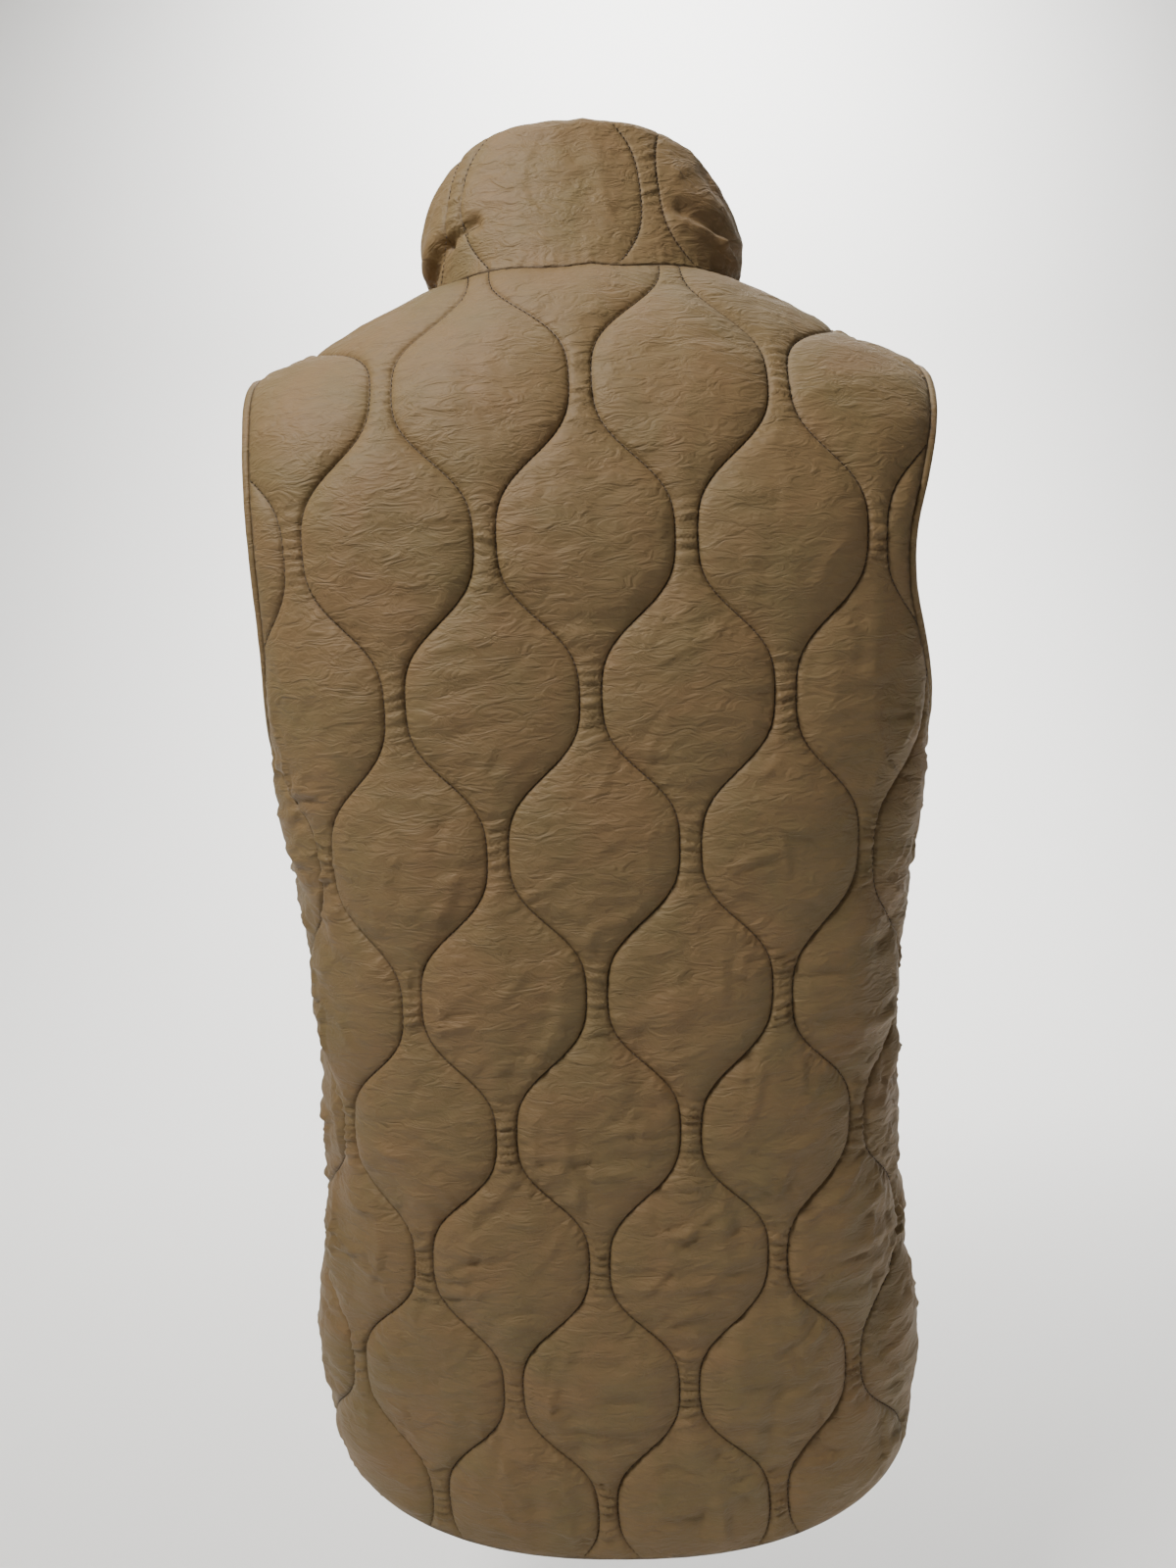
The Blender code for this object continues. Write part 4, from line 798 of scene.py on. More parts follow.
# %% The two skins of a flat piece
class Layout:
    """One flat piece: the meshes of its two skins, which share their ring."""

    def __init__(self, edges, quilting, outer_step=OUTER_STEP, extra=()):
        self.edges = edges
        outline = np.concatenate([edge[:-1] for edge in edges])
        self.quilting = quilting
        self.stretches = [dense(k, SEAM_STEP) for k in cut_lines(quilting.lines(), outline)]
        self.ring = spaced_outline(edges, self.stretches, 2 * LINE_STEP)
        closed = dense(np.concatenate([self.ring, self.ring[:1]]))
        seams = [on_stitches(stretch) for stretch in self.stretches]
        rows = [self.clear(np.concatenate(rows_beside(self.stretches, quilting)), [closed], LINE_STEP)]
        rows.append(self.clear(ladders(quilting), [closed, *self.stretches], LINE_STEP))
        margin = OUTER_CLEARANCE * outer_step
        loose = self.clear(hex_grid(self.ring, outer_step), [closed, *self.stretches], margin)
        loose = loose[nearest(rows, *loose.T)[0] > margin]
        self.outer = triangulate(self.ring, seams, np.concatenate([*rows, loose]))
        loose = self.clear(hex_grid(self.ring, INNER_STEP), [closed], INNER_CLEARANCE * INNER_STEP)
        for row in extra:
            loose = loose[nearest([row], *loose.T)[0] > ROW_CLEARANCE * INNER_STEP]
            loose = np.concatenate([loose, self.clear(row, [closed], LINE_STEP)])
        self.inner = triangulate(self.ring, [], loose)

    def clear(self, points, rows, margin):
        """The points on the piece that keep clear of some rows."""
        points = points[inside(points, self.ring)]
        return points[nearest(rows, *points.T)[0] > margin]

    def area(self):
        """Flat area in square metres."""
        x, y = self.ring.T
        return abs(np.sum(x * np.roll(y, -1) - y * np.roll(x, -1))) / 2 * MM * MM


# %% [markdown]
# ## Padding, puckers and folds
#
# On the real vest the padding rises fast beside a stitched line and rounds over between
# two lines. Level puckers cross each neck, short ones fringe each line, and the crinkled
# cloth has dents, wrinkles and a few long folds. All this could be sculpted, or left to
# a cloth simulation. Here it is a sum of small formulas over the cloth coordinates,
# because each of them keeps its own real size, can be changed alone and gives the same
# cloth on every run.

# %% Sizes of the padding, in millimetres
SEED = 11
WALL = 1.8
PUFF = 7.5
PUFF_CHANGE = 0.16
PUFF_PATCH = 55
STEEP_SHARE = 0.15
STEEP_REACH = 0.7
SOFT_REACH = 12.5
SHOULDER_PUFF = 0.62
SHOULDER_PUFF_FROM = -20
SHOULDER_PUFF_OVER = 140
HEM_PADDING = 1.5
EDGE_SOFTNESS = 8
LINING_PUFF = 2.2
LINING_REACH = 16

# %% Sizes of the puckers, in millimetres
ON_LINE = 0.3
BRIDGE_DEPTH = 2.9
BRIDGE_PITCH = 5.3
BRIDGE_FADE = 14
BRIDGE_END = 0.9
BRIDGE_SLANT = 0.8
BRIDGE_WANDER = 0.25
BRIDGE_LOOSENESS = 0.3
SLANT_PATCH = 23
PUCKER_DEPTH = 1.5
PUCKER_PITCH = 5.6
PUCKER_REACH = 4.9
PUCKER_REACH_CHANGE = 2.9
PUCKER_REACH_PATCH = 9
PUCKER_PATCH = 31
PUCKER_PATCHINESS = 0.4
PUCKER_WANDER = 0.35
PUCKER_LOSS_IN_NECK = 0.85
PLEAT_DEPTH = 0.9
PLEAT_PITCH = 21
PLEAT_REACH = 13
PLEAT_WANDER = 0.25
EDGE_GATHER_DEPTH = 1.1
EDGE_GATHER_PITCH = 6
EDGE_GATHER_REACH = 3.2
EDGE_GATHER_GAP = 3
WANDER_PATCH = (9, 12)
GATHER_ROUNDNESS = 1.6
GATHER_REST = 0.4
GATHER_CHANGE = 0.3
GATHER_UNEVENNESS = (0.34, 1.7)
HOLE_DEPTH = 0.4

# %% Sizes of the dents and wrinkles, in millimetres and radians
DENT_DEPTH = 1.6
UPRIGHT_DENT = (11, 60)
UPRIGHT_STRENGTH = 0.7
LEVEL_DENT = (26, 8)
LEVEL_STRENGTH = 0.6
SWAY = 1.4
SWAY_PATCH = (50, 45)
DENTED_PATCH = (80, 80)
DENTED_CONTRAST = 1.5
DENTED_SHARE = 0.4
CRINKLE_REACH = 5
CALM = 0.45
LOOSEST = 1.35
LOOSE_FROM = 20
LOOSE_OVER = 600
WRINKLE_DEPTH = 1.25
WRINKLE_AREA = 420
WRINKLE_LENGTH = (13, 32)
WRINKLE_WIDTH = (1.7, 3.4)
WRINKLE_BOW = 0.35
WRINKLE_RISE = (0.35, 1.0)
NEARLY_LEVEL = (0.12, 0.3)
NEARLY_UPRIGHT = (1.5, 0.3)
SLANTED = (0.4, 2.6)
LEVEL_SHARE = 0.6
UPRIGHT_SHARE = 0.1
RIDGE_SHARE = 0.65
VALLEY_SHARE = 0.5

# %% Long folds, each from one cloth point to another, in millimetres
FOLD_ON_LINE = 0.35
FOLD_COLUMNS = ("u0", "v0", "u1", "v1", "depth", "width")
BACK_FOLDS = table(
    FOLD_COLUMNS,
    (218, 330, 150, 392, -2.6, 9),
    (226, 362, 172, 446, 2.2, 10),
    (-222, 332, -158, 386, -2.4, 9),
    (-226, 372, -176, 452, 2.2, 10),
    (190, 470, 160, 610, -2.2, 12),
    (-188, 490, -166, 640, -2.2, 12),
)
FRONT_FOLDS = table(
    FOLD_COLUMNS,
    (196, 322, 132, 372, -2.6, 9),
    (206, 356, 150, 430, 2.2, 10),
    (176, 470, 150, 620, -2.2, 12),
    (96, 520, 88, 680, -1.8, 12),
)
COLLAR_FOLDS = table(
    FOLD_COLUMNS,
    (130, -3, 90, -22, -8.5, 4.5),
    (90, -22, 66, -29, -6.5, 3.5),
    (122, -14, 74, -40, 3.6, 8),
    (-124, -4, -84, -18, 4.2, 4),
    (-84, -18, -52, -26, 3.4, 4),
    (-120, -14, -58, -34, -5.2, 5),
    (-112, -34, -82, -58, -2.0, 6),
    (112, -40, 92, -66, -2.0, 6),
)


def fold_lift(folds, u, v):
    """Rise or fall of the outer cloth where it folds."""
    lift = np.zeros(len(u))
    for u0, v0, u1, v1, depth, width in zip(*(folds[name] for name in FOLD_COLUMNS)):
        run = np.array([u1 - u0, v1 - v0])
        t = np.clip(((u - u0) * run[0] + (v - v0) * run[1]) / (run @ run), 0, 1)
        away = np.hypot(u - u0 - t * run[0], v - v0 - t * run[1])
        lift += depth * np.exp(-(away / width) ** 2)
    return lift


# %% The shapes that puckers and wrinkles are made of
def hump(distance, reach):
    """A rise that starts at 0 on the seam, peaks at its reach and fades."""
    return distance / reach * np.exp(1 - distance / reach)


def gathers(x, values, row):
    """Rounded ridges of their own heights between sharp valleys, one for each step of x."""
    row = row % len(values)
    x = x + GATHER_UNEVENNESS[0] * noise_along(x / GATHER_UNEVENNESS[1], values, row)
    number = np.floor(x).astype(int)
    share = x - number
    height = 1 - GATHER_CHANGE + GATHER_CHANGE * values[row, number % values.shape[1]]
    return (1 - np.abs(2 * share - 1) ** GATHER_ROUNDNESS) * height - GATHER_REST


def wrinkles(u, v, seed, count, depth, box):
    """Short wrinkles, most of them level, each a ridge with a valley beside it."""
    dice = np.random.default_rng(seed)
    low_u, high_u, low_v, high_v = box
    lift = np.zeros(len(u))
    for _ in range(count):
        middle_u, middle_v = dice.uniform(low_u, high_u), dice.uniform(low_v, high_v)
        kind = dice.uniform()
        lean = dice.normal(*NEARLY_LEVEL)
        if kind > LEVEL_SHARE + UPRIGHT_SHARE:
            lean = dice.uniform(*SLANTED)
        elif kind > LEVEL_SHARE:
            lean = dice.normal(*NEARLY_UPRIGHT)
        length, width = dice.uniform(*WRINKLE_LENGTH), dice.uniform(*WRINKLE_WIDTH)
        rise = depth * dice.uniform(*WRINKLE_RISE) * (1 if dice.uniform() < RIDGE_SHARE else -1)
        bow = dice.uniform(-WRINKLE_BOW, WRINKLE_BOW) / length
        near = (np.abs(u - middle_u) < length) & (np.abs(v - middle_v) < length)
        a, b = u[near] - middle_u, v[near] - middle_v
        run = a * math.cos(lean) + b * math.sin(lean)
        off = b * math.cos(lean) - a * math.sin(lean) + bow * run ** 2
        taper = np.clip(1 - (run / length) ** 2, 0, 1) ** 2
        ridge = np.exp(-(off / width) ** 2)
        valley = np.exp(-((off - 1.5 * width) / (0.8 * width)) ** 2)
        lift[near] += rise * (ridge - VALLEY_SHARE * valley) * taper
    return lift


# %% Where each point of a skin lies among the seams
# The tables of random values have prime sizes, so no two patterns repeat in step. A
# pucker from one line has faded when it comes to the middle of its strip.
FINE_TABLE = (61, 997)
BROAD_TABLE = (61, 613)
PLANE_TABLE = (97, 89)
FADE_BY_MIDDLE = 2.5


class ClothPoints:
    """The points of one outer skin: their nearest line and edge, their strip and looseness."""

    def __init__(self, layout, edges, seed, calm):
        self.u, self.v = layout.outer[0].T
        away, number = nearest(layout.stretches, self.u, self.v)
        line_u = np.concatenate(layout.stretches)[number][:, 0]
        self.run = np.concatenate([running_length(k) for k in layout.stretches])[number]
        self.away = np.where(away < ON_LINE, 0, away)
        edge_away, self.edge_number = nearest([dense(k, SEAM_STEP) for k in edges], self.u, self.v)
        self.edge_away = np.where(edge_away < ON_LINE, 0, edge_away)
        self.strip, self.width, across = layout.quilting.strip(self.u, self.v)
        self.one_side = ease(FADE_BY_MIDDLE * across)
        self.hand = 2 * self.strip + (line_u > self.u)
        self.from_middle = self.u - line_u + np.where(line_u > self.u, 1, -1) * self.width / 2
        self.pinch = np.exp(-np.maximum(self.width - NECK_GAP, 0) / BRIDGE_FADE)
        self.loose = calm + (LOOSEST - calm) * ease((self.v - LOOSE_FROM) / LOOSE_OVER)
        self.fine = random_rows(seed, *FINE_TABLE)
        self.broad = random_rows(seed + 1, *BROAD_TABLE)
        self.plane = random_rows(seed + 2, *PLANE_TABLE)
        self.wander = self.noise(WANDER_PATCH, self.plane.T)

    def noise(self, patch, values, sway=0.0):
        """Smooth random values over the skin, with a patch's size across and down."""
        return noise_over(self.u / patch[0] + sway, self.v / patch[1], values)


# %% The four parts of the relief
def padding(points, puff):
    """Rise of the padding, lower on the shoulders, and its share of the full rise."""
    rounded = points.away * (1 - points.away / np.maximum(points.width, 2 * points.away))
    soft = 1 - np.exp(-rounded / SOFT_REACH)
    steep = 1 - np.exp(-points.away / STEEP_REACH)
    raised = STEEP_SHARE * steep + (1 - STEEP_SHARE) * soft
    down = ease((points.v - SHOULDER_PUFF_FROM) / SHOULDER_PUFF_OVER)
    lower = SHOULDER_PUFF + (1 - SHOULDER_PUFF) * down
    change = 1 + PUFF_CHANGE * points.noise((PUFF_PATCH, PUFF_PATCH), points.plane)
    return puff * lower * raised * change, raised


def neck_puckers(points):
    """Level puckers from line to line across each narrow neck."""
    slant = noise_along(points.v / SLANT_PATCH, points.broad, points.strip + 3)
    slant = BRIDGE_SLANT * slant * points.from_middle / NECK_GAP
    place = points.v / BRIDGE_PITCH + BRIDGE_WANDER * points.wander + slant
    bridge = gathers(place, points.fine, points.strip) * points.pinch
    off_line = 1 - np.exp(-(points.away / BRIDGE_END) ** 2)
    return BRIDGE_DEPTH * bridge * off_line * (1 + BRIDGE_LOOSENESS * (points.loose - 1))


def line_puckers(points):
    """Short puckers and broad pleats that stand square to the stitched lines."""
    reach = noise_along(points.run / PUCKER_REACH_PATCH, points.broad, points.hand + 7)
    reach = PUCKER_REACH + PUCKER_REACH_CHANGE * reach
    patchy = noise_along(points.run / PUCKER_PATCH, points.broad, points.hand + 17)
    patchy = 1 + PUCKER_PATCHINESS * (patchy - 1)
    place = points.run / PUCKER_PITCH + PUCKER_WANDER * points.wander
    pucker = gathers(place, points.fine, points.hand + 13) * hump(points.away, reach)
    pucker = PUCKER_DEPTH * pucker * patchy * (1 - PUCKER_LOSS_IN_NECK * points.pinch)
    place = points.run / PLEAT_PITCH + PLEAT_WANDER * points.wander
    pleat = PLEAT_DEPTH * gathers(place, points.broad, points.hand) * hump(points.away, PLEAT_REACH)
    return (pucker + pleat) * points.one_side * points.loose


def dents_and_wrinkles(points, seed):
    """Upright and level dents, and the short wrinkles between them."""
    sway = SWAY * points.noise(SWAY_PATCH, points.plane)
    dented = ease(DENTED_CONTRAST * points.noise(DENTED_PATCH, points.plane.T) + DENTED_SHARE)
    upright = UPRIGHT_STRENGTH * points.noise(UPRIGHT_DENT, points.plane, sway) * dented
    level_dents = LEVEL_STRENGTH * points.noise(LEVEL_DENT, points.plane.T[::-1])
    box = (points.u.min(), points.u.max(), points.v.min(), points.v.max())
    count = int((box[1] - box[0]) * (box[3] - box[2]) / WRINKLE_AREA)
    short = wrinkles(points.u, points.v, seed + 3, count, WRINKLE_DEPTH, box)
    off_line = 1 - np.exp(-points.away / CRINKLE_REACH)
    return (DENT_DEPTH * (upright + level_dents) + short) * off_line * points.loose


def edge_gathers(points):
    """Small gathers along the seams that join the pieces."""
    place = points.edge_number * SEAM_STEP / EDGE_GATHER_PITCH
    gather = gathers(place, points.fine, np.full(len(place), 3))
    off_line = 1 - np.exp(-points.away / EDGE_GATHER_GAP)
    return EDGE_GATHER_DEPTH * gather * hump(points.edge_away, EDGE_GATHER_REACH) * off_line


# %% The relief of a piece
# The shades are shares of a dark colour that paints shade: on a line, where it also stands in for the
# dark thread, in a needle hole, beside a line and at a joining edge.
LINE_SHADE = 0.2
HOLE_SHADE = 0.7
BESIDE_SHADE = 0.06
EDGE_SHADE = 0.8


def relief(layout, seed, folds, edges, puff=PUFF, calm=CALM):
    """Lift of a piece's outer skin, and the painted shade on each of its points in the grooves, needle
    holes and joining seams.
    """
    points = ClothPoints(layout, edges, seed, calm)
    lift, raised = padding(points, puff)
    lift = lift + neck_puckers(points) + line_puckers(points) + dents_and_wrinkles(points, seed)
    fold_share = FOLD_ON_LINE + (1 - FOLD_ON_LINE) * raised
    lift = lift + fold_lift(folds, points.u, points.v) * fold_share
    lift = lift * (1 - np.exp(-points.edge_away / EDGE_SOFTNESS)) + edge_gathers(points)
    on_line = points.away == 0
    holes = ease(np.cos(2 * math.pi * points.run / STITCH_PITCH))
    shade = np.where(on_line, LINE_SHADE + HOLE_SHADE * holes, BESIDE_SHADE * (points.away < 1))
    shade = np.maximum(shade, EDGE_SHADE * (points.edge_away == 0))
    return lift - HOLE_DEPTH * holes * on_line, shade


def lining_lift(layout):
    """Lift of the inner skin: shallow quilting into the vest."""
    u, v = layout.inner[0].T
    rows = [*layout.stretches, *(dense(edge) for edge in layout.edges)]
    return -WALL - LINING_PUFF * (1 - np.exp(-nearest(rows, u, v)[0] / LINING_REACH))


# %% Putting a mesh in the scene
def put_mesh(name, points, faces, materials, flat=None, shade=None, inner_from=None):
    """A piece from points in millimetres, with its cloth coordinates as a UV map in metres."""
    mesh = bpy.data.meshes.new(name)
    mesh.from_pydata((np.asarray(points) * MM).tolist(), [], [tuple(f) for f in faces])
    for material in materials:
        mesh.materials.append(material)
    if flat is not None:
        cloth = mesh.uv_layers.new(name="cloth")
        corners = np.zeros(len(mesh.loops), dtype=int)
        mesh.loops.foreach_get("vertex_index", corners)
        cloth.data.foreach_set("uv", (flat[corners] * MM).astype(np.float32).ravel())
    # The share of painted shade in the grooves, holes and seams rides on the mesh as an attribute.
    if shade is not None:
        attribute = mesh.attributes.new("painted_seam_shade", "FLOAT", "POINT")
        attribute.data.foreach_set("value", shade.astype(np.float32))
    if inner_from is not None:
        for number, face in enumerate(mesh.polygons):
            face.material_index = 1 if number >= inner_from else 0
    work = bmesh.new()
    work.from_mesh(mesh)
    bmesh.ops.recalc_face_normals(work, faces=work.faces)
    work.to_mesh(mesh)
    work.free()
    mesh.shade_smooth()
    piece = bpy.data.objects.new(name, mesh)
    bpy.context.collection.objects.link(piece)
    print(name, len(mesh.vertices), "points", len(mesh.polygons), "faces")
    return piece


def padded_wall(name, surface, layout, outer_lift, inner_lift, shade, hand=1):
    """A closed wall from the two skins of a layout, on the left (1) or right (-1) hand."""
    outer_flat, outer_faces, outer_ring = layout.outer
    inner_flat, inner_faces, inner_ring = layout.inner
    count = len(outer_flat)
    outer = surface.at(hand * outer_flat[:, 0], outer_flat[:, 1], outer_lift)
    inner = surface.at(hand * inner_flat[:, 0], inner_flat[:, 1], inner_lift)
    faces = list(outer_faces)
    loops = list(zip(outer_ring, [k + count for k in inner_ring]))
    faces += [(a, c, d, b) for (a, b), (c, d) in zip(loops, loops[1:] + loops[:1])]
    inner_from = len(faces)
    faces += [[k + count for k in face] for face in inner_faces]
    flat = np.concatenate([outer_flat, inner_flat])
    shades = np.concatenate([shade, np.zeros(len(inner_flat))])
    return put_mesh(name, np.concatenate([outer, inner]), faces, [shell_cloth, lining_cloth],
                    flat, shades, inner_from)


# %% [markdown]
# ## Materials
#
# The shell is nylon taffeta that has been crinkled in the dyeing: it looks brown where
# the crinkle leans one way and olive where it leans the other, with a soft sheen. A
# picture of cloth could be laid over it, but would repeat. Noise doesn't, and it is
# placed by the cloth coordinates, so one unit of a pattern is one metre of cloth, and
# streaks run across the piece as they do in the weave.

# %% Colour and node helpers
def linear(hex_colour):
    """A colour written as sRGB hex, as the linear values that a shader takes."""
    parts = [int(hex_colour[k:k + 2], 16) / 255 for k in (1, 3, 5)]
    return (*(p / 12.92 if p <= 0.04045 else ((p + 0.055) / 1.055) ** 2.4 for p in parts), 1.0)


def add_node(tree, kind, inputs=None, stops=(), **settings):
    """One node with its settings. An input is a value or another node's output."""
    made = tree.nodes.new(kind)
    for name, value in settings.items():
        setattr(made, name, value)
    for key, value in (inputs or {}).items():
        if isinstance(value, bpy.types.NodeSocket):
            tree.links.new(value, made.inputs[key])
        else:
            made.inputs[key].default_value = value
    for number, (place, colour) in enumerate(stops):
        if number > 1:
            made.color_ramp.elements.new(place)
        made.color_ramp.elements[number].position = place
        made.color_ramp.elements[number].color = linear(colour)
    return made


def spaced(tree, vector, counts):
    """A place on the cloth, counted in the steps of a pattern."""
    return add_node(tree, "ShaderNodeMapping", {"Vector": vector, "Scale": counts}).outputs["Vector"]


def new_material(name, **principled):
    """A material with its Principled shader's fixed values set."""
    material = bpy.data.materials.new(name)
    material.use_nodes = True
    shader = material.node_tree.nodes["Principled BSDF"]
    for key, value in principled.items():
        shader.inputs[key.replace("_", " ")].default_value = value
    return material, material.node_tree, shader


# %% Crinkled nylon shell: its colours
# Three counts for each metre: across the cloth, down it and through it. The patches of
# colour are 53 mm wide and the streaks of the crinkle 10.5 by 2.9 mm.
SHELL_BROWN = "#876C48"
SHELL_OLIVE = "#7F6B46"
# The darkest colour is painted shade for the stitched grooves, needle holes and joining seams, and on a
# line also stands for the dark thread.
SHELL_PAINTED_SHADE = "#4A3822"
PATCHES_PER_METRE = 19
STREAKS_PER_METRE = (95, 340, 1)

shell_cloth, tree, shader = new_material(
    "crinkled_nylon_taffeta", Roughness=0.66, IOR=1.53, Sheen_Weight=0.08, Sheen_Roughness=0.4)
shader.inputs["Sheen Tint"].default_value = linear("#D8C8A8")
cloth = add_node(tree, "ShaderNodeUVMap", uv_map="cloth").outputs["UV"]
patches = add_node(tree, "ShaderNodeTexNoise", {
    "Vector": cloth, "Scale": PATCHES_PER_METRE, "Detail": 4, "Roughness": 0.6, "Distortion": 0.5})
base = add_node(tree, "ShaderNodeValToRGB", {"Fac": patches.outputs["Fac"]},
                ((0.35, SHELL_BROWN), (0.66, SHELL_OLIVE)))
streaks = add_node(tree, "ShaderNodeTexNoise", {
    "Vector": spaced(tree, cloth, STREAKS_PER_METRE), "Scale": 1, "Detail": 4, "Roughness": 0.62,
    "Distortion": 0.5})
# The streaks are partly the weave's own tone and partly painted light and shade: the same noise raises
# the crinkle, and the cloth is painted lighter where it is raised and darker where it sinks.
streak_light_and_shade = add_node(tree, "ShaderNodeMapRange", {
    "Value": streaks.outputs["Fac"], "From Min": 0.25, "From Max": 0.75,
    "To Min": 0.92, "To Max": 1.08})
streaked = add_node(tree, "ShaderNodeVectorMath", {
    0: base.outputs["Color"], "Scale": streak_light_and_shade.outputs["Result"]}, operation="SCALE")
# Painted shade: the shell is darkened in the grooves, needle holes and joining seams by the share that
# the relief gives each point.
seam = add_node(tree, "ShaderNodeAttribute", attribute_name="painted_seam_shade").outputs["Fac"]
painted_shade_mix = add_node(tree, "ShaderNodeMix", {
    0: seam, 6: streaked.outputs["Vector"], 7: linear(SHELL_PAINTED_SHADE)}, data_type="RGBA")
tree.links.new(painted_shade_mix.outputs[2], shader.inputs["Base Color"])

# %% Crinkled nylon shell: its crinkle
# The crumples are 17 by 7 mm. The threads of the real weave are 0.1 mm apart, too fine to
# show, so their grain is drawn as coarse as 2 by 1.1 mm.
CRUMPLES_PER_METRE = (60, 150, 1)
GRAIN_PER_METRE = (500, 900, 1)
CRUMPLE_RISE = 0.0022
STREAK_RISE = 0.00033
GRAIN_RISE = 0.00006

crumples = add_node(tree, "ShaderNodeTexNoise", {
    "Vector": spaced(tree, cloth, CRUMPLES_PER_METRE), "Scale": 1, "Detail": 3, "Roughness": 0.55,
    "Distortion": 0.9})
centred = add_node(tree, "ShaderNodeMath", {0: crumples.outputs["Fac"], 1: 0.5}, operation="SUBTRACT")
folded = add_node(tree, "ShaderNodeMath", {0: centred.outputs[0]}, operation="ABSOLUTE")
grain = add_node(tree, "ShaderNodeTexNoise", {
    "Vector": spaced(tree, cloth, GRAIN_PER_METRE), "Scale": 1, "Detail": 2, "Roughness": 0.6})
big = add_node(tree, "ShaderNodeBump", {
    "Height": folded.outputs[0], "Distance": CRUMPLE_RISE, "Strength": 1.0})
small = add_node(tree, "ShaderNodeBump", {
    "Height": streaks.outputs["Fac"], "Distance": STREAK_RISE, "Strength": 1.0,
    "Normal": big.outputs["Normal"]})
finest = add_node(tree, "ShaderNodeBump", {
    "Height": grain.outputs["Fac"], "Distance": GRAIN_RISE, "Strength": 1.0,
    "Normal": small.outputs["Normal"]})
tree.links.new(finest.outputs["Normal"], shader.inputs["Normal"])
print(shell_cloth.name, "has", len(tree.nodes), "nodes")

# %% Polyester lining
# A plain weave that was pressed flat, so it is smoother than the shell and shines more.
# Its threads are too fine to show and are drawn 17 mm long and 2 mm apart.
LINING_PER_METRE = (60, 500, 1)

lining_cloth, tree, shader = new_material(
    "polyester_lining", Roughness=0.42, IOR=1.5, Sheen_Weight=0.1)
cloth = add_node(tree, "ShaderNodeUVMap", uv_map="cloth").outputs["UV"]
weave = add_node(tree, "ShaderNodeTexNoise", {
    "Vector": spaced(tree, cloth, LINING_PER_METRE), "Scale": 1, "Detail": 3, "Roughness": 0.6})
woven = add_node(tree, "ShaderNodeValToRGB", {"Fac": weave.outputs["Fac"]},
                 ((0.3, "#4A3A28"), (0.7, "#564531")))
tree.links.new(woven.outputs["Color"], shader.inputs["Base Color"])
raised = add_node(tree, "ShaderNodeBump", {
    "Height": weave.outputs["Fac"], "Distance": 0.0005, "Strength": 0.4})
tree.links.new(raised.outputs["Normal"], shader.inputs["Normal"])
print(lining_cloth.name, "has", len(tree.nodes), "nodes")

# %% Polyester thread
# Spun from short fibres, which stand off it and make it matt.
thread, tree, shader = new_material("spun_polyester_thread", Roughness=0.6, IOR=1.5, Sheen_Weight=0.2)
shader.inputs["Base Color"].default_value = linear("#3A2A1A")
print(thread.name, "has", len(tree.nodes), "nodes")

# %% [markdown]
# ## The quilted pieces
#
# Back and fronts are cut flat, quilted and then sewn at the sides and shoulders. Each
# is laid out flat here too, lifted by its relief and bent on to the body, so that no
# pattern stretches. The two fronts are one layout, used on either hand. The worn cloth
# crumples at the sides of the back, below the armholes, so more wrinkles go there.

# %% Back
PANEL_REACH = 290
PANEL_DOWN = (-60, 790)
CRUMPLED = {1: (165, 265), -1: (-265, -155)}
CRUMPLED_DOWN = (230, 650)
CRUMPLE_COUNT = 85
CRUMPLE_DEPTH = 2.1
CRUMPLE_FULL = 3

back_quilting = Quilting("back", PANEL_REACH, PANEL_DOWN)
back_layout = Layout(back_edges, back_quilting)
lift, shade = relief(back_layout, SEED, BACK_FOLDS, back_edges)
flat_u, flat_v = back_layout.outer[0].T
for side, across in CRUMPLED.items():
    box = (*across, *CRUMPLED_DOWN)
    crumple = wrinkles(flat_u, flat_v, SEED + 5 + side, CRUMPLE_COUNT, CRUMPLE_DEPTH, box)
    lift = lift + crumple * np.clip(lift / CRUMPLE_FULL, 0, 1)
hem_rows = [dense(back_left["hem"]), dense(other_hand(back_right["hem"]))]
hem_away = nearest(hem_rows, flat_u, flat_v)[0]
lift = lift + HEM_PADDING * np.exp(-hem_away / EDGE_SOFTNESS)
back_shell = padded_wall("back_shell", back, back_layout, lift, lining_lift(back_layout), shade)

# %% Fronts
# Behind each front edge the inner skin stays flat over the zip tape.
TAPE_WIDTH = 17
TAPE_ROW_STEP = 5.0
LINING_RISE = 20

front_quilting = Quilting("front", PANEL_REACH, PANEL_DOWN)
tape_v = np.arange(front_half["neckline"][-1, 1], front_half["hem"][0, 1], TAPE_ROW_STEP)
tape_row = np.stack([np.full(len(tape_v), FRONT_EDGE + TAPE_WIDTH), tape_v], axis=1)
front_layout = Layout(front_edges, front_quilting, OUTER_STEP, [tape_row])
front_shells = {}
for hand, sign in (("left", 1), ("right", -1)):
    lift, shade = relief(front_layout, SEED + 10 + sign, FRONT_FOLDS, front_edges)
    hem_away = nearest([dense(front_half["hem"])], *front_layout.outer[0].T)[0]
    lift = lift + HEM_PADDING * np.exp(-hem_away / EDGE_SOFTNESS)
    past_tape = front_layout.inner[0][:, 0] - FRONT_EDGE - TAPE_WIDTH
    inner = -WALL + (lining_lift(front_layout) + WALL) * ease(past_tape / LINING_RISE)
    front_shells[hand] = padded_wall(
        "front_shell_" + hand, front, front_layout, lift, inner, shade, sign)

# %% [markdown]
# ## Collar
#
# The collar stands round the neck and folds over at its top, so it has no cut edge
# there. One strip bent double could give that roll. Instead its two skins are lifted
# apart as in the other pieces and drawn together along a quarter round at the top edge,
# which keeps it one closed wall with a soft rim.

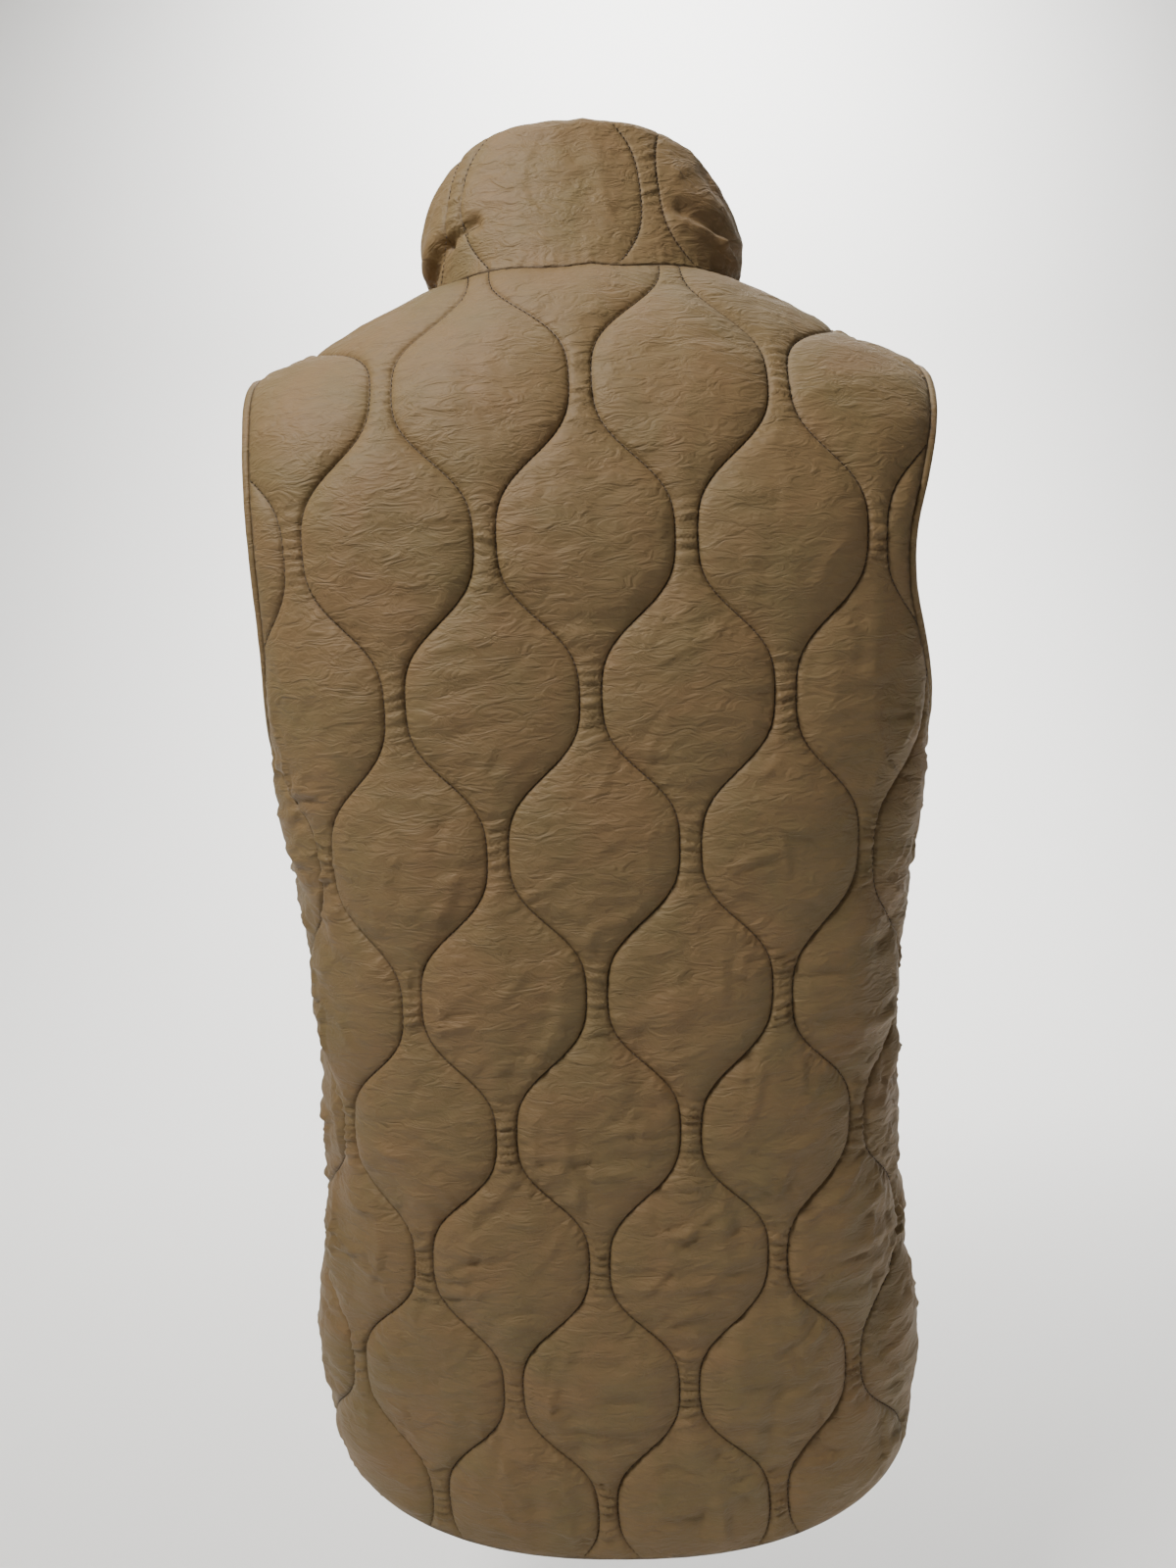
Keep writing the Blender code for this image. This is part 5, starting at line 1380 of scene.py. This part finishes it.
# %% Collar
COLLAR_DOWN = (-125, 10)
COLLAR_STEP = 2.2
COLLAR_CALM = 0.5
END_ROW_DOWN = (-108, -2)
END_ROW_POINTS = 22
TOP_SHADE_FADE = 10

collar_quilting = Quilting("collar", collar.half, COLLAR_DOWN, sag=0.0)
end_v = np.linspace(*END_ROW_DOWN, END_ROW_POINTS)
end_rows = [np.stack([np.full(END_ROW_POINTS, u), end_v], axis=1)
            for u in (TAPE_WIDTH - collar_end, collar_end - TAPE_WIDTH)]
collar_layout = Layout(collar_edges, collar_quilting, COLLAR_STEP, end_rows)


def rolled(points, full, edge_lift):
    """A lift that curls over to the collar's top edge."""
    away = np.clip(nearest([dense(collar_edges[2])], *points.T)[0] / COLLAR_ROLL, 0, 1)
    return edge_lift + (full - edge_lift) * np.sqrt(1 - (1 - away) ** 2)


def collar_lifts(layout):
    """Lifts of the collar's two skins, which meet in a rolled top edge, and the outer's shade."""
    seam_edge, left_end, top_edge, right_end = collar_edges
    sewn_edges = [seam_edge, left_end, right_end]
    lift, shade = relief(layout, SEED + 30, COLLAR_FOLDS, sewn_edges, COLLAR_PUFF, COLLAR_CALM)
    top_away = nearest([dense(top_edge, SEAM_STEP)], *layout.outer[0].T)[0]
    u, v = layout.inner[0].T
    away = nearest([dense(left_end), dense(right_end)], u, v)[0]
    pad = COLLAR_PAD * ease(away / COLLAR_PAD_START - 1) * ease(-v / COLLAR_PAD_START)
    outer = rolled(layout.outer[0], lift, COLLAR_EDGE / 2)
    inner = rolled(layout.inner[0], -WALL - pad, -COLLAR_EDGE / 2)
    # The painted shade fades out towards the rolled top edge.
    return outer, inner, shade * ease(top_away / TOP_SHADE_FADE)


outer, inner, shade = collar_lifts(collar_layout)
collar_shell = padded_wall("collar_shell", collar, collar_layout, outer, inner, shade)

# %% [markdown]
# ## Thread
#
# A lockstitch shows as a row of short threads with a hole at each end. A curve with a
# bevel would draw one endless cord. Here each stitch is a small spindle of its own that
# lies in the groove, about 3 mm from the next, as on the real seams.

# %% Stitches along every quilted line
STITCH_LENGTH = 2.4
STITCH_RADIUS = 0.4
STITCH_HEIGHT = 0.32
STITCH_LIFT = 0.4
STITCH_END_LIFT = 0.12
SPINDLE = [(0, 2, 3), (0, 3, 4), (0, 4, 5), (0, 5, 2), (1, 3, 2), (1, 4, 3), (1, 5, 4), (1, 2, 5)]


def stitches(name, surface, stretches, hand=1):
    """Short threads along rows of cloth points, as one piece."""
    points, faces = [], []
    for stretch in stretches:
        middles = np.arange(STITCH_PITCH / 2, running_length(stretch)[-1] - STITCH_PITCH, STITCH_PITCH)
        ends = [along(stretch, middles + shift) for shift in (-STITCH_LENGTH / 2, STITCH_LENGTH / 2)]
        first, last = (surface.at(hand * end[:, 0], end[:, 1], STITCH_END_LIFT) for end in ends)
        flat = along(stretch, middles)
        up = surface.normal(hand * flat[:, 0], flat[:, 1])
        middle = surface.at(hand * flat[:, 0], flat[:, 1], STITCH_LIFT)
        beside = unit(np.cross(up, last - first)) * STITCH_RADIUS
        up = up * STITCH_HEIGHT
        sides = (middle + beside, middle + up, middle - beside, middle - up)
        rows = np.stack([first, last, *sides], axis=1)
        start = 6 * len(points)
        for number, row in enumerate(rows):
            faces.extend(tuple(k + start + 6 * number for k in face) for face in SPINDLE)
        points.extend(rows)
    return put_mesh(name, np.concatenate(points), faces, [thread])


threads = [
    stitches("back_thread", back, back_layout.stretches),
    stitches("front_thread_left", front, front_layout.stretches),
    stitches("front_thread_right", front, front_layout.stretches, -1),
    stitches("collar_thread", collar, collar_layout.stretches),
]

# %% [markdown]
# ## Armhole binding
#
# A bias strip is folded over the raw edge, so in section it is a flat oval about 5 mm
# wide. A curve object with a bevel would part from the panels between its points, so
# the oval is set at every point of the panels' edges instead. Being pulled round a
# curve, the strip gathers a little.

# %% Sizes of the binding, in millimetres
BAND_WIDTH = 5.0
BAND_TOP = 1.0
BAND_BOTTOM = -2.3
BAND_SIDES = 10
BAND_GATHER = 0.12
BAND_GATHER_STEP = 2.3
ARMHOLE_MIDDLE_HEIGHT = -150
SAME_PLACE = 0.05


# %% The strip round one armhole
def ring_on_edge(ring, path):
    """The points of a piece's ring that lie on one stretch, in its order."""
    places = np.array([place_on(path, point) for point in ring])
    away = np.linalg.norm(along(path, places) - ring, axis=1)
    found = away < SAME_PLACE
    return ring[found][np.argsort(places[found])]


def binding(name, hand, seed):
    """The strip that finishes one armhole, as one closed loop with an oval section."""
    back_path = back_left["armhole"] if hand > 0 else back_right["armhole"]
    sides = (
        (back, ring_on_edge(back_layout.ring, back_path * np.array([hand, 1])), 1),
        (front, ring_on_edge(front_layout.ring, front_half["armhole"]) * np.array([hand, 1]), -1),
    )
    middle = np.array([hand * SHOULDER_TIP, 0, ARMHOLE_MIDDLE_HEIGHT])
    rows = []
    for surface, flat, sense in sides:
        points = surface.at(*flat.T)
        normals = surface.normal(*flat.T)
        outward = unit(np.cross(normals, np.gradient(points, axis=0)))
        outward *= np.sign(np.sum(outward * (middle - points), axis=1))[:, None]
        found = list(zip(points, normals, outward))
        rows.extend(found[1:] if sense > 0 else found[::-1][1:])
    turn = np.arange(BAND_SIDES) / BAND_SIDES * 2 * math.pi
    gather = random_rows(seed, 499)
    points, flat = [], []
    for number, (point, normal, outward) in enumerate(rows):
        bulge = 1 + BAND_GATHER * noise_along(np.array([number / BAND_GATHER_STEP]), gather)[0]
        across = SEAM_GAP + BAND_WIDTH / 2 * (1 + np.cos(turn))
        lift = (BAND_TOP + BAND_BOTTOM) / 2 + (BAND_TOP - BAND_BOTTOM) / 2 * bulge * np.sin(turn)
        points.append(point + outward * across[:, None] + normal * lift[:, None])
        flat.append(np.stack([across, np.full(BAND_SIDES, number * OUTER_STEP)], axis=1))
    faces = []
    for number in range(len(rows)):
        here = number * BAND_SIDES
        after = (number + 1) % len(rows) * BAND_SIDES
        for a in range(BAND_SIDES):
            b = (a + 1) % BAND_SIDES
            faces.append((here + a, here + b, after + b, after + a))
    return put_mesh(name, np.concatenate(points), faces, [shell_cloth], np.concatenate(flat))


binding_left = binding("armhole_binding_left", 1, SEED + 50)
binding_right = binding("armhole_binding_right", -1, SEED + 51)

# %% [markdown]
# ## The zip
#
# The tapes, box, slider and pull keep their solids, which have the right shape already,
# and get real finishes. The chain is replaced by its teeth: two rows of small cast
# blocks that mesh, 2.6 mm from one to the next. Copies of one tooth would need an array
# along a curve. A loop that places eight corners on the cloth is shorter and follows
# both the front and the collar.

# %% Sizes of the zip, in millimetres
TOOTH_PITCH = 2.6
TOOTH_HALF_WIDTH = 2.7
TOOTH_OVERLAP = 0.9
TOOTH_TOP = 0.5
TOOTH_BOTTOM = -2.2
TOOTH_HEAD_HALF = 0.75
TOOTH_FOOT_HALF = 0.6
CHAIN_START_GAP = 1.5
CHAIN_END_GAP = 2
ZIP_FOOT = 6
ZIP_HEAD = 7
BOX_LENGTH = 11


# %% The zip's way up the front, and its teeth
def zip_line(across, lift, places):
    """Points beside the zip's middle, at distances up from its foot."""
    foot = front_half["hem"][0, 1] - ZIP_FOOT
    up_front = foot - front_half["neckline"][-1, 1]
    on_front = places < up_front - 1
    lower = front.at(np.full(on_front.sum(), across), foot - places[on_front], lift)
    u = math.copysign(collar.half - abs(across), across if across else 1)
    upper = collar.at(np.full((~on_front).sum(), u), up_front - places[~on_front], lift)
    return np.concatenate([lower, upper])


def zip_teeth(name, start, end):
    """Both rows of teeth, each tooth a tapered block across the zip's middle."""
    points, faces = [], []
    block = [(0, 1, 2, 3), (7, 6, 5, 4), (0, 4, 5, 1), (1, 5, 6, 2), (2, 6, 7, 3), (3, 7, 4, 0)]
    for sign, shift in ((1, 0.0), (-1, TOOTH_PITCH / 2)):
        places = np.arange(start + shift, end, TOOTH_PITCH)
        corners = []
        for across, half in ((-TOOTH_OVERLAP, TOOTH_HEAD_HALF), (TOOTH_HALF_WIDTH, TOOTH_FOOT_HALF)):
            for lift in (TOOTH_BOTTOM, TOOTH_TOP):
                for step in (-half, half):
                    corners.append(zip_line(sign * across, lift, places + step))
        order = (0, 1, 3, 2, 4, 5, 7, 6)
        corners = np.stack([corners[k] for k in order], axis=1)
        for row in corners:
            base = 8 * len(points)
            faces.extend(tuple(k + base for k in face) for face in block)
            points.append(row)
    return put_mesh(name, np.concatenate(points), faces, [brass])


# %% Antique brass
# Cast brass, darkened and then rubbed, so it is brighter in patches about 4 mm across.
# Normals rounded by 0.4 mm give its edges the softness that casting leaves.
WEAR_PER_METRE = 260
CAST_EDGE = 0.0004

brass, tree, shader = new_material("antique_brass", Metallic=1.0, Roughness=0.34)
place = add_node(tree, "ShaderNodeTexCoord").outputs["Object"]
wear = add_node(tree, "ShaderNodeTexNoise", {
    "Vector": place, "Scale": WEAR_PER_METRE, "Detail": 3, "Roughness": 0.6})
rubbed = add_node(tree, "ShaderNodeValToRGB", {"Fac": wear.outputs["Fac"]},
                  ((0.35, "#5A4B34"), (0.65, "#8C7A5A")))
tree.links.new(rubbed.outputs["Color"], shader.inputs["Base Color"])
rounded = add_node(tree, "ShaderNodeBevel", {"Radius": CAST_EDGE}, samples=4)
uneven = add_node(tree, "ShaderNodeBump", {
    "Height": wear.outputs["Fac"], "Distance": 0.0001, "Strength": 0.3,
    "Normal": rounded.outputs["Normal"]})
tree.links.new(uneven.outputs["Normal"], shader.inputs["Normal"])

# %% Woven zip tape
# Polyester twill, dull and a little fuzzy. Its ridges are drawn 4.4 mm apart, coarser
# than the real 1 mm, so that they show.
TWILL_SCALE = 100

zip_tape, tree, shader = new_material("woven_zip_tape", Roughness=0.85, Sheen_Weight=0.2)
place = add_node(tree, "ShaderNodeTexCoord").outputs["Object"]
ridges = add_node(tree, "ShaderNodeTexWave", {
    "Vector": place, "Scale": TWILL_SCALE, "Distortion": 1.0}, bands_direction="DIAGONAL")
twill = add_node(tree, "ShaderNodeValToRGB", {"Fac": ridges.outputs["Fac"]},
                 ((0.2, "#3E2F20"), (0.8, "#51402B")))
tree.links.new(twill.outputs["Color"], shader.inputs["Base Color"])
raised = add_node(tree, "ShaderNodeBump", {
    "Height": ridges.outputs["Fac"], "Distance": 0.0004, "Strength": 0.6})
tree.links.new(raised.outputs["Normal"], shader.inputs["Normal"])

# %% Teeth and finishes
zip_foot = front_half["hem"][0, 1] - ZIP_FOOT
zip_length = zip_foot - front_half["neckline"][-1, 1] - collar_v[-1] - ZIP_HEAD
teeth = zip_teeth("zip_teeth", BOX_LENGTH + CHAIN_START_GAP, zip_length - CHAIN_END_GAP)
for node, finish in (("zip_tape_left", zip_tape), ("zip_tape_right", zip_tape), ("zip_box", brass),
                     ("zip_slider", brass), ("zip_pull", brass)):
    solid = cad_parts[node]
    solid.data.materials.clear()
    solid.data.materials.append(finish)

# %% [markdown]
# ## Placing the pieces
#
# Every piece rides on the vest's body and has its finish, and each cloth piece and the teeth hide the
# solid that they stand for. The flat area of each quilted cut is worked out, but nothing is done with
# it.

# %% Rides, replacements and cuts
for piece, node in (
    (back_shell, "back"),
    (front_shells["left"], "front_left"),
    (front_shells["right"], "front_right"),
    (collar_shell, "collar"),
    (binding_left, "armhole_band_left"),
    (binding_right, "armhole_band_right"),
):
    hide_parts(node)
    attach(piece, "vest")
for piece in threads:
    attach(piece, "vest")
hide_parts("zip_chain")
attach(teeth, "vest")


def declare_cut(layout):
    """Works out the flat area of a quilted piece's cut; nothing is done with it."""
    area = float(layout.area())


declare_cut(back_layout)
declare_cut(front_layout)
declare_cut(front_layout)
declare_cut(collar_layout)

# %% [markdown]
# ## Light, floor and camera
#
# Soft light from the upper left of the view grazes the cloth and brings out its padding.
# Two weaker panels keep the other sides readable, and one that is narrowed to the
# backdrop whitens it without lighting the vest. The floor rises into the backdrop in a
# quarter round, so no line shows behind the vest. The camera stands behind the vest, a
# little above its middle, and is tilted down.

# %% Light panels
def soft_panel(name, place, aim, size, power, hex_colour="#FFFFFF", spread=180):
    """A square light panel that faces a point."""
    light = bpy.data.lights.new(name, "AREA")
    light.shape = "SQUARE"
    light.size = size
    light.energy = power
    light.spread = math.radians(spread)
    light.color = linear(hex_colour)[:3]
    lamp = bpy.data.objects.new(name, light)
    lamp.location = place
    lamp.rotation_mode = "QUATERNION"
    lamp.rotation_quaternion = (Vector(aim) - Vector(place)).to_track_quat("-Z", "Y")
    bpy.context.collection.objects.link(lamp)


world = bpy.data.worlds.new("studio")
bpy.context.scene.world = world
world.use_nodes = True
world.node_tree.nodes["Background"].inputs["Color"].default_value = linear("#E2E3E5")
world.node_tree.nodes["Background"].inputs["Strength"].default_value = 0.05
soft_panel("main", (0.88, 0.86, 1.1), (0, 0, 0.75), 0.55, 42, "#FFFCF7")
soft_panel("side_fill", (-1.9, 1.6, 0.3), (0, 0, -0.35), 1.8, 4.5, "#FFFDF8")
soft_panel("front_fill", (-1.0, -1.9, 2.6), (0, 0, -0.35), 1.6, 7)
soft_panel("backdrop_wash", (-0.3, -1.1, 2.3), (-0.3, -2.5, -0.1), 1.4, 150, spread=118)

# %% Floor and backdrop, in metres
FLOOR_HEIGHT = -0.95
FLOOR_END = 5.0
BACKDROP_AT = -2.6
BACKDROP_ROUND = 1.6
BACKDROP_HEIGHT = 4.0
BACKDROP_HALF_WIDTH = 6.0

turn = np.linspace(0, math.pi / 2, 33)
round_y = BACKDROP_AT + BACKDROP_ROUND * (1 - np.sin(turn))
round_z = BACKDROP_ROUND * (1 - np.cos(turn))
sweep = [(FLOOR_END, 0.0), *zip(round_y, round_z), (BACKDROP_AT, BACKDROP_HEIGHT)]
corners = [(x, y, z) for y, z in sweep for x in (-BACKDROP_HALF_WIDTH, BACKDROP_HALF_WIDTH)]
strips = [(2 * k, 2 * k + 1, 2 * k + 3, 2 * k + 2) for k in range(len(sweep) - 1)]
floor_mesh = bpy.data.meshes.new("floor")
floor_mesh.from_pydata(corners, [], strips)
floor_mesh.shade_smooth()
floor = bpy.data.objects.new("floor", floor_mesh)
floor.location = (0, 0, FLOOR_HEIGHT)
bpy.context.collection.objects.link(floor)
floor_paint, _, floor_shader = new_material("pale_floor", Roughness=0.8)
floor_shader.inputs["Base Color"].default_value = linear("#ECEBE8")
floor_mesh.materials.append(floor_paint)

# %% Camera, in metres and degrees
CAMERA_PLACE = (0.03127, 0.73976, -0.2021)
CAMERA_YAW = math.radians(-1.82)
CAMERA_PITCH = math.radians(6.7)
CAMERA_ROLL = math.radians(-1.88)
level_ahead = Vector((math.sin(CAMERA_YAW), -math.cos(CAMERA_YAW), 0))
ahead = level_ahead * math.cos(CAMERA_PITCH) - Vector((0, 0, math.sin(CAMERA_PITCH)))
level_right = ahead.cross(Vector((0, 0, 1))).normalized()
level_up = level_right.cross(ahead)
right = level_right * math.cos(CAMERA_ROLL) + level_up * math.sin(CAMERA_ROLL)
up = level_up * math.cos(CAMERA_ROLL) - level_right * math.sin(CAMERA_ROLL)
view = bpy.data.cameras.new("view")
view.sensor_width = 36
view.lens = 27
view.clip_start = 0.01
camera = bpy.data.objects.new("view", view)
camera.matrix_world = Matrix((right, up, -ahead)).transposed().to_4x4()
camera.location = CAMERA_PLACE
bpy.context.collection.objects.link(camera)
bpy.context.scene.camera = camera
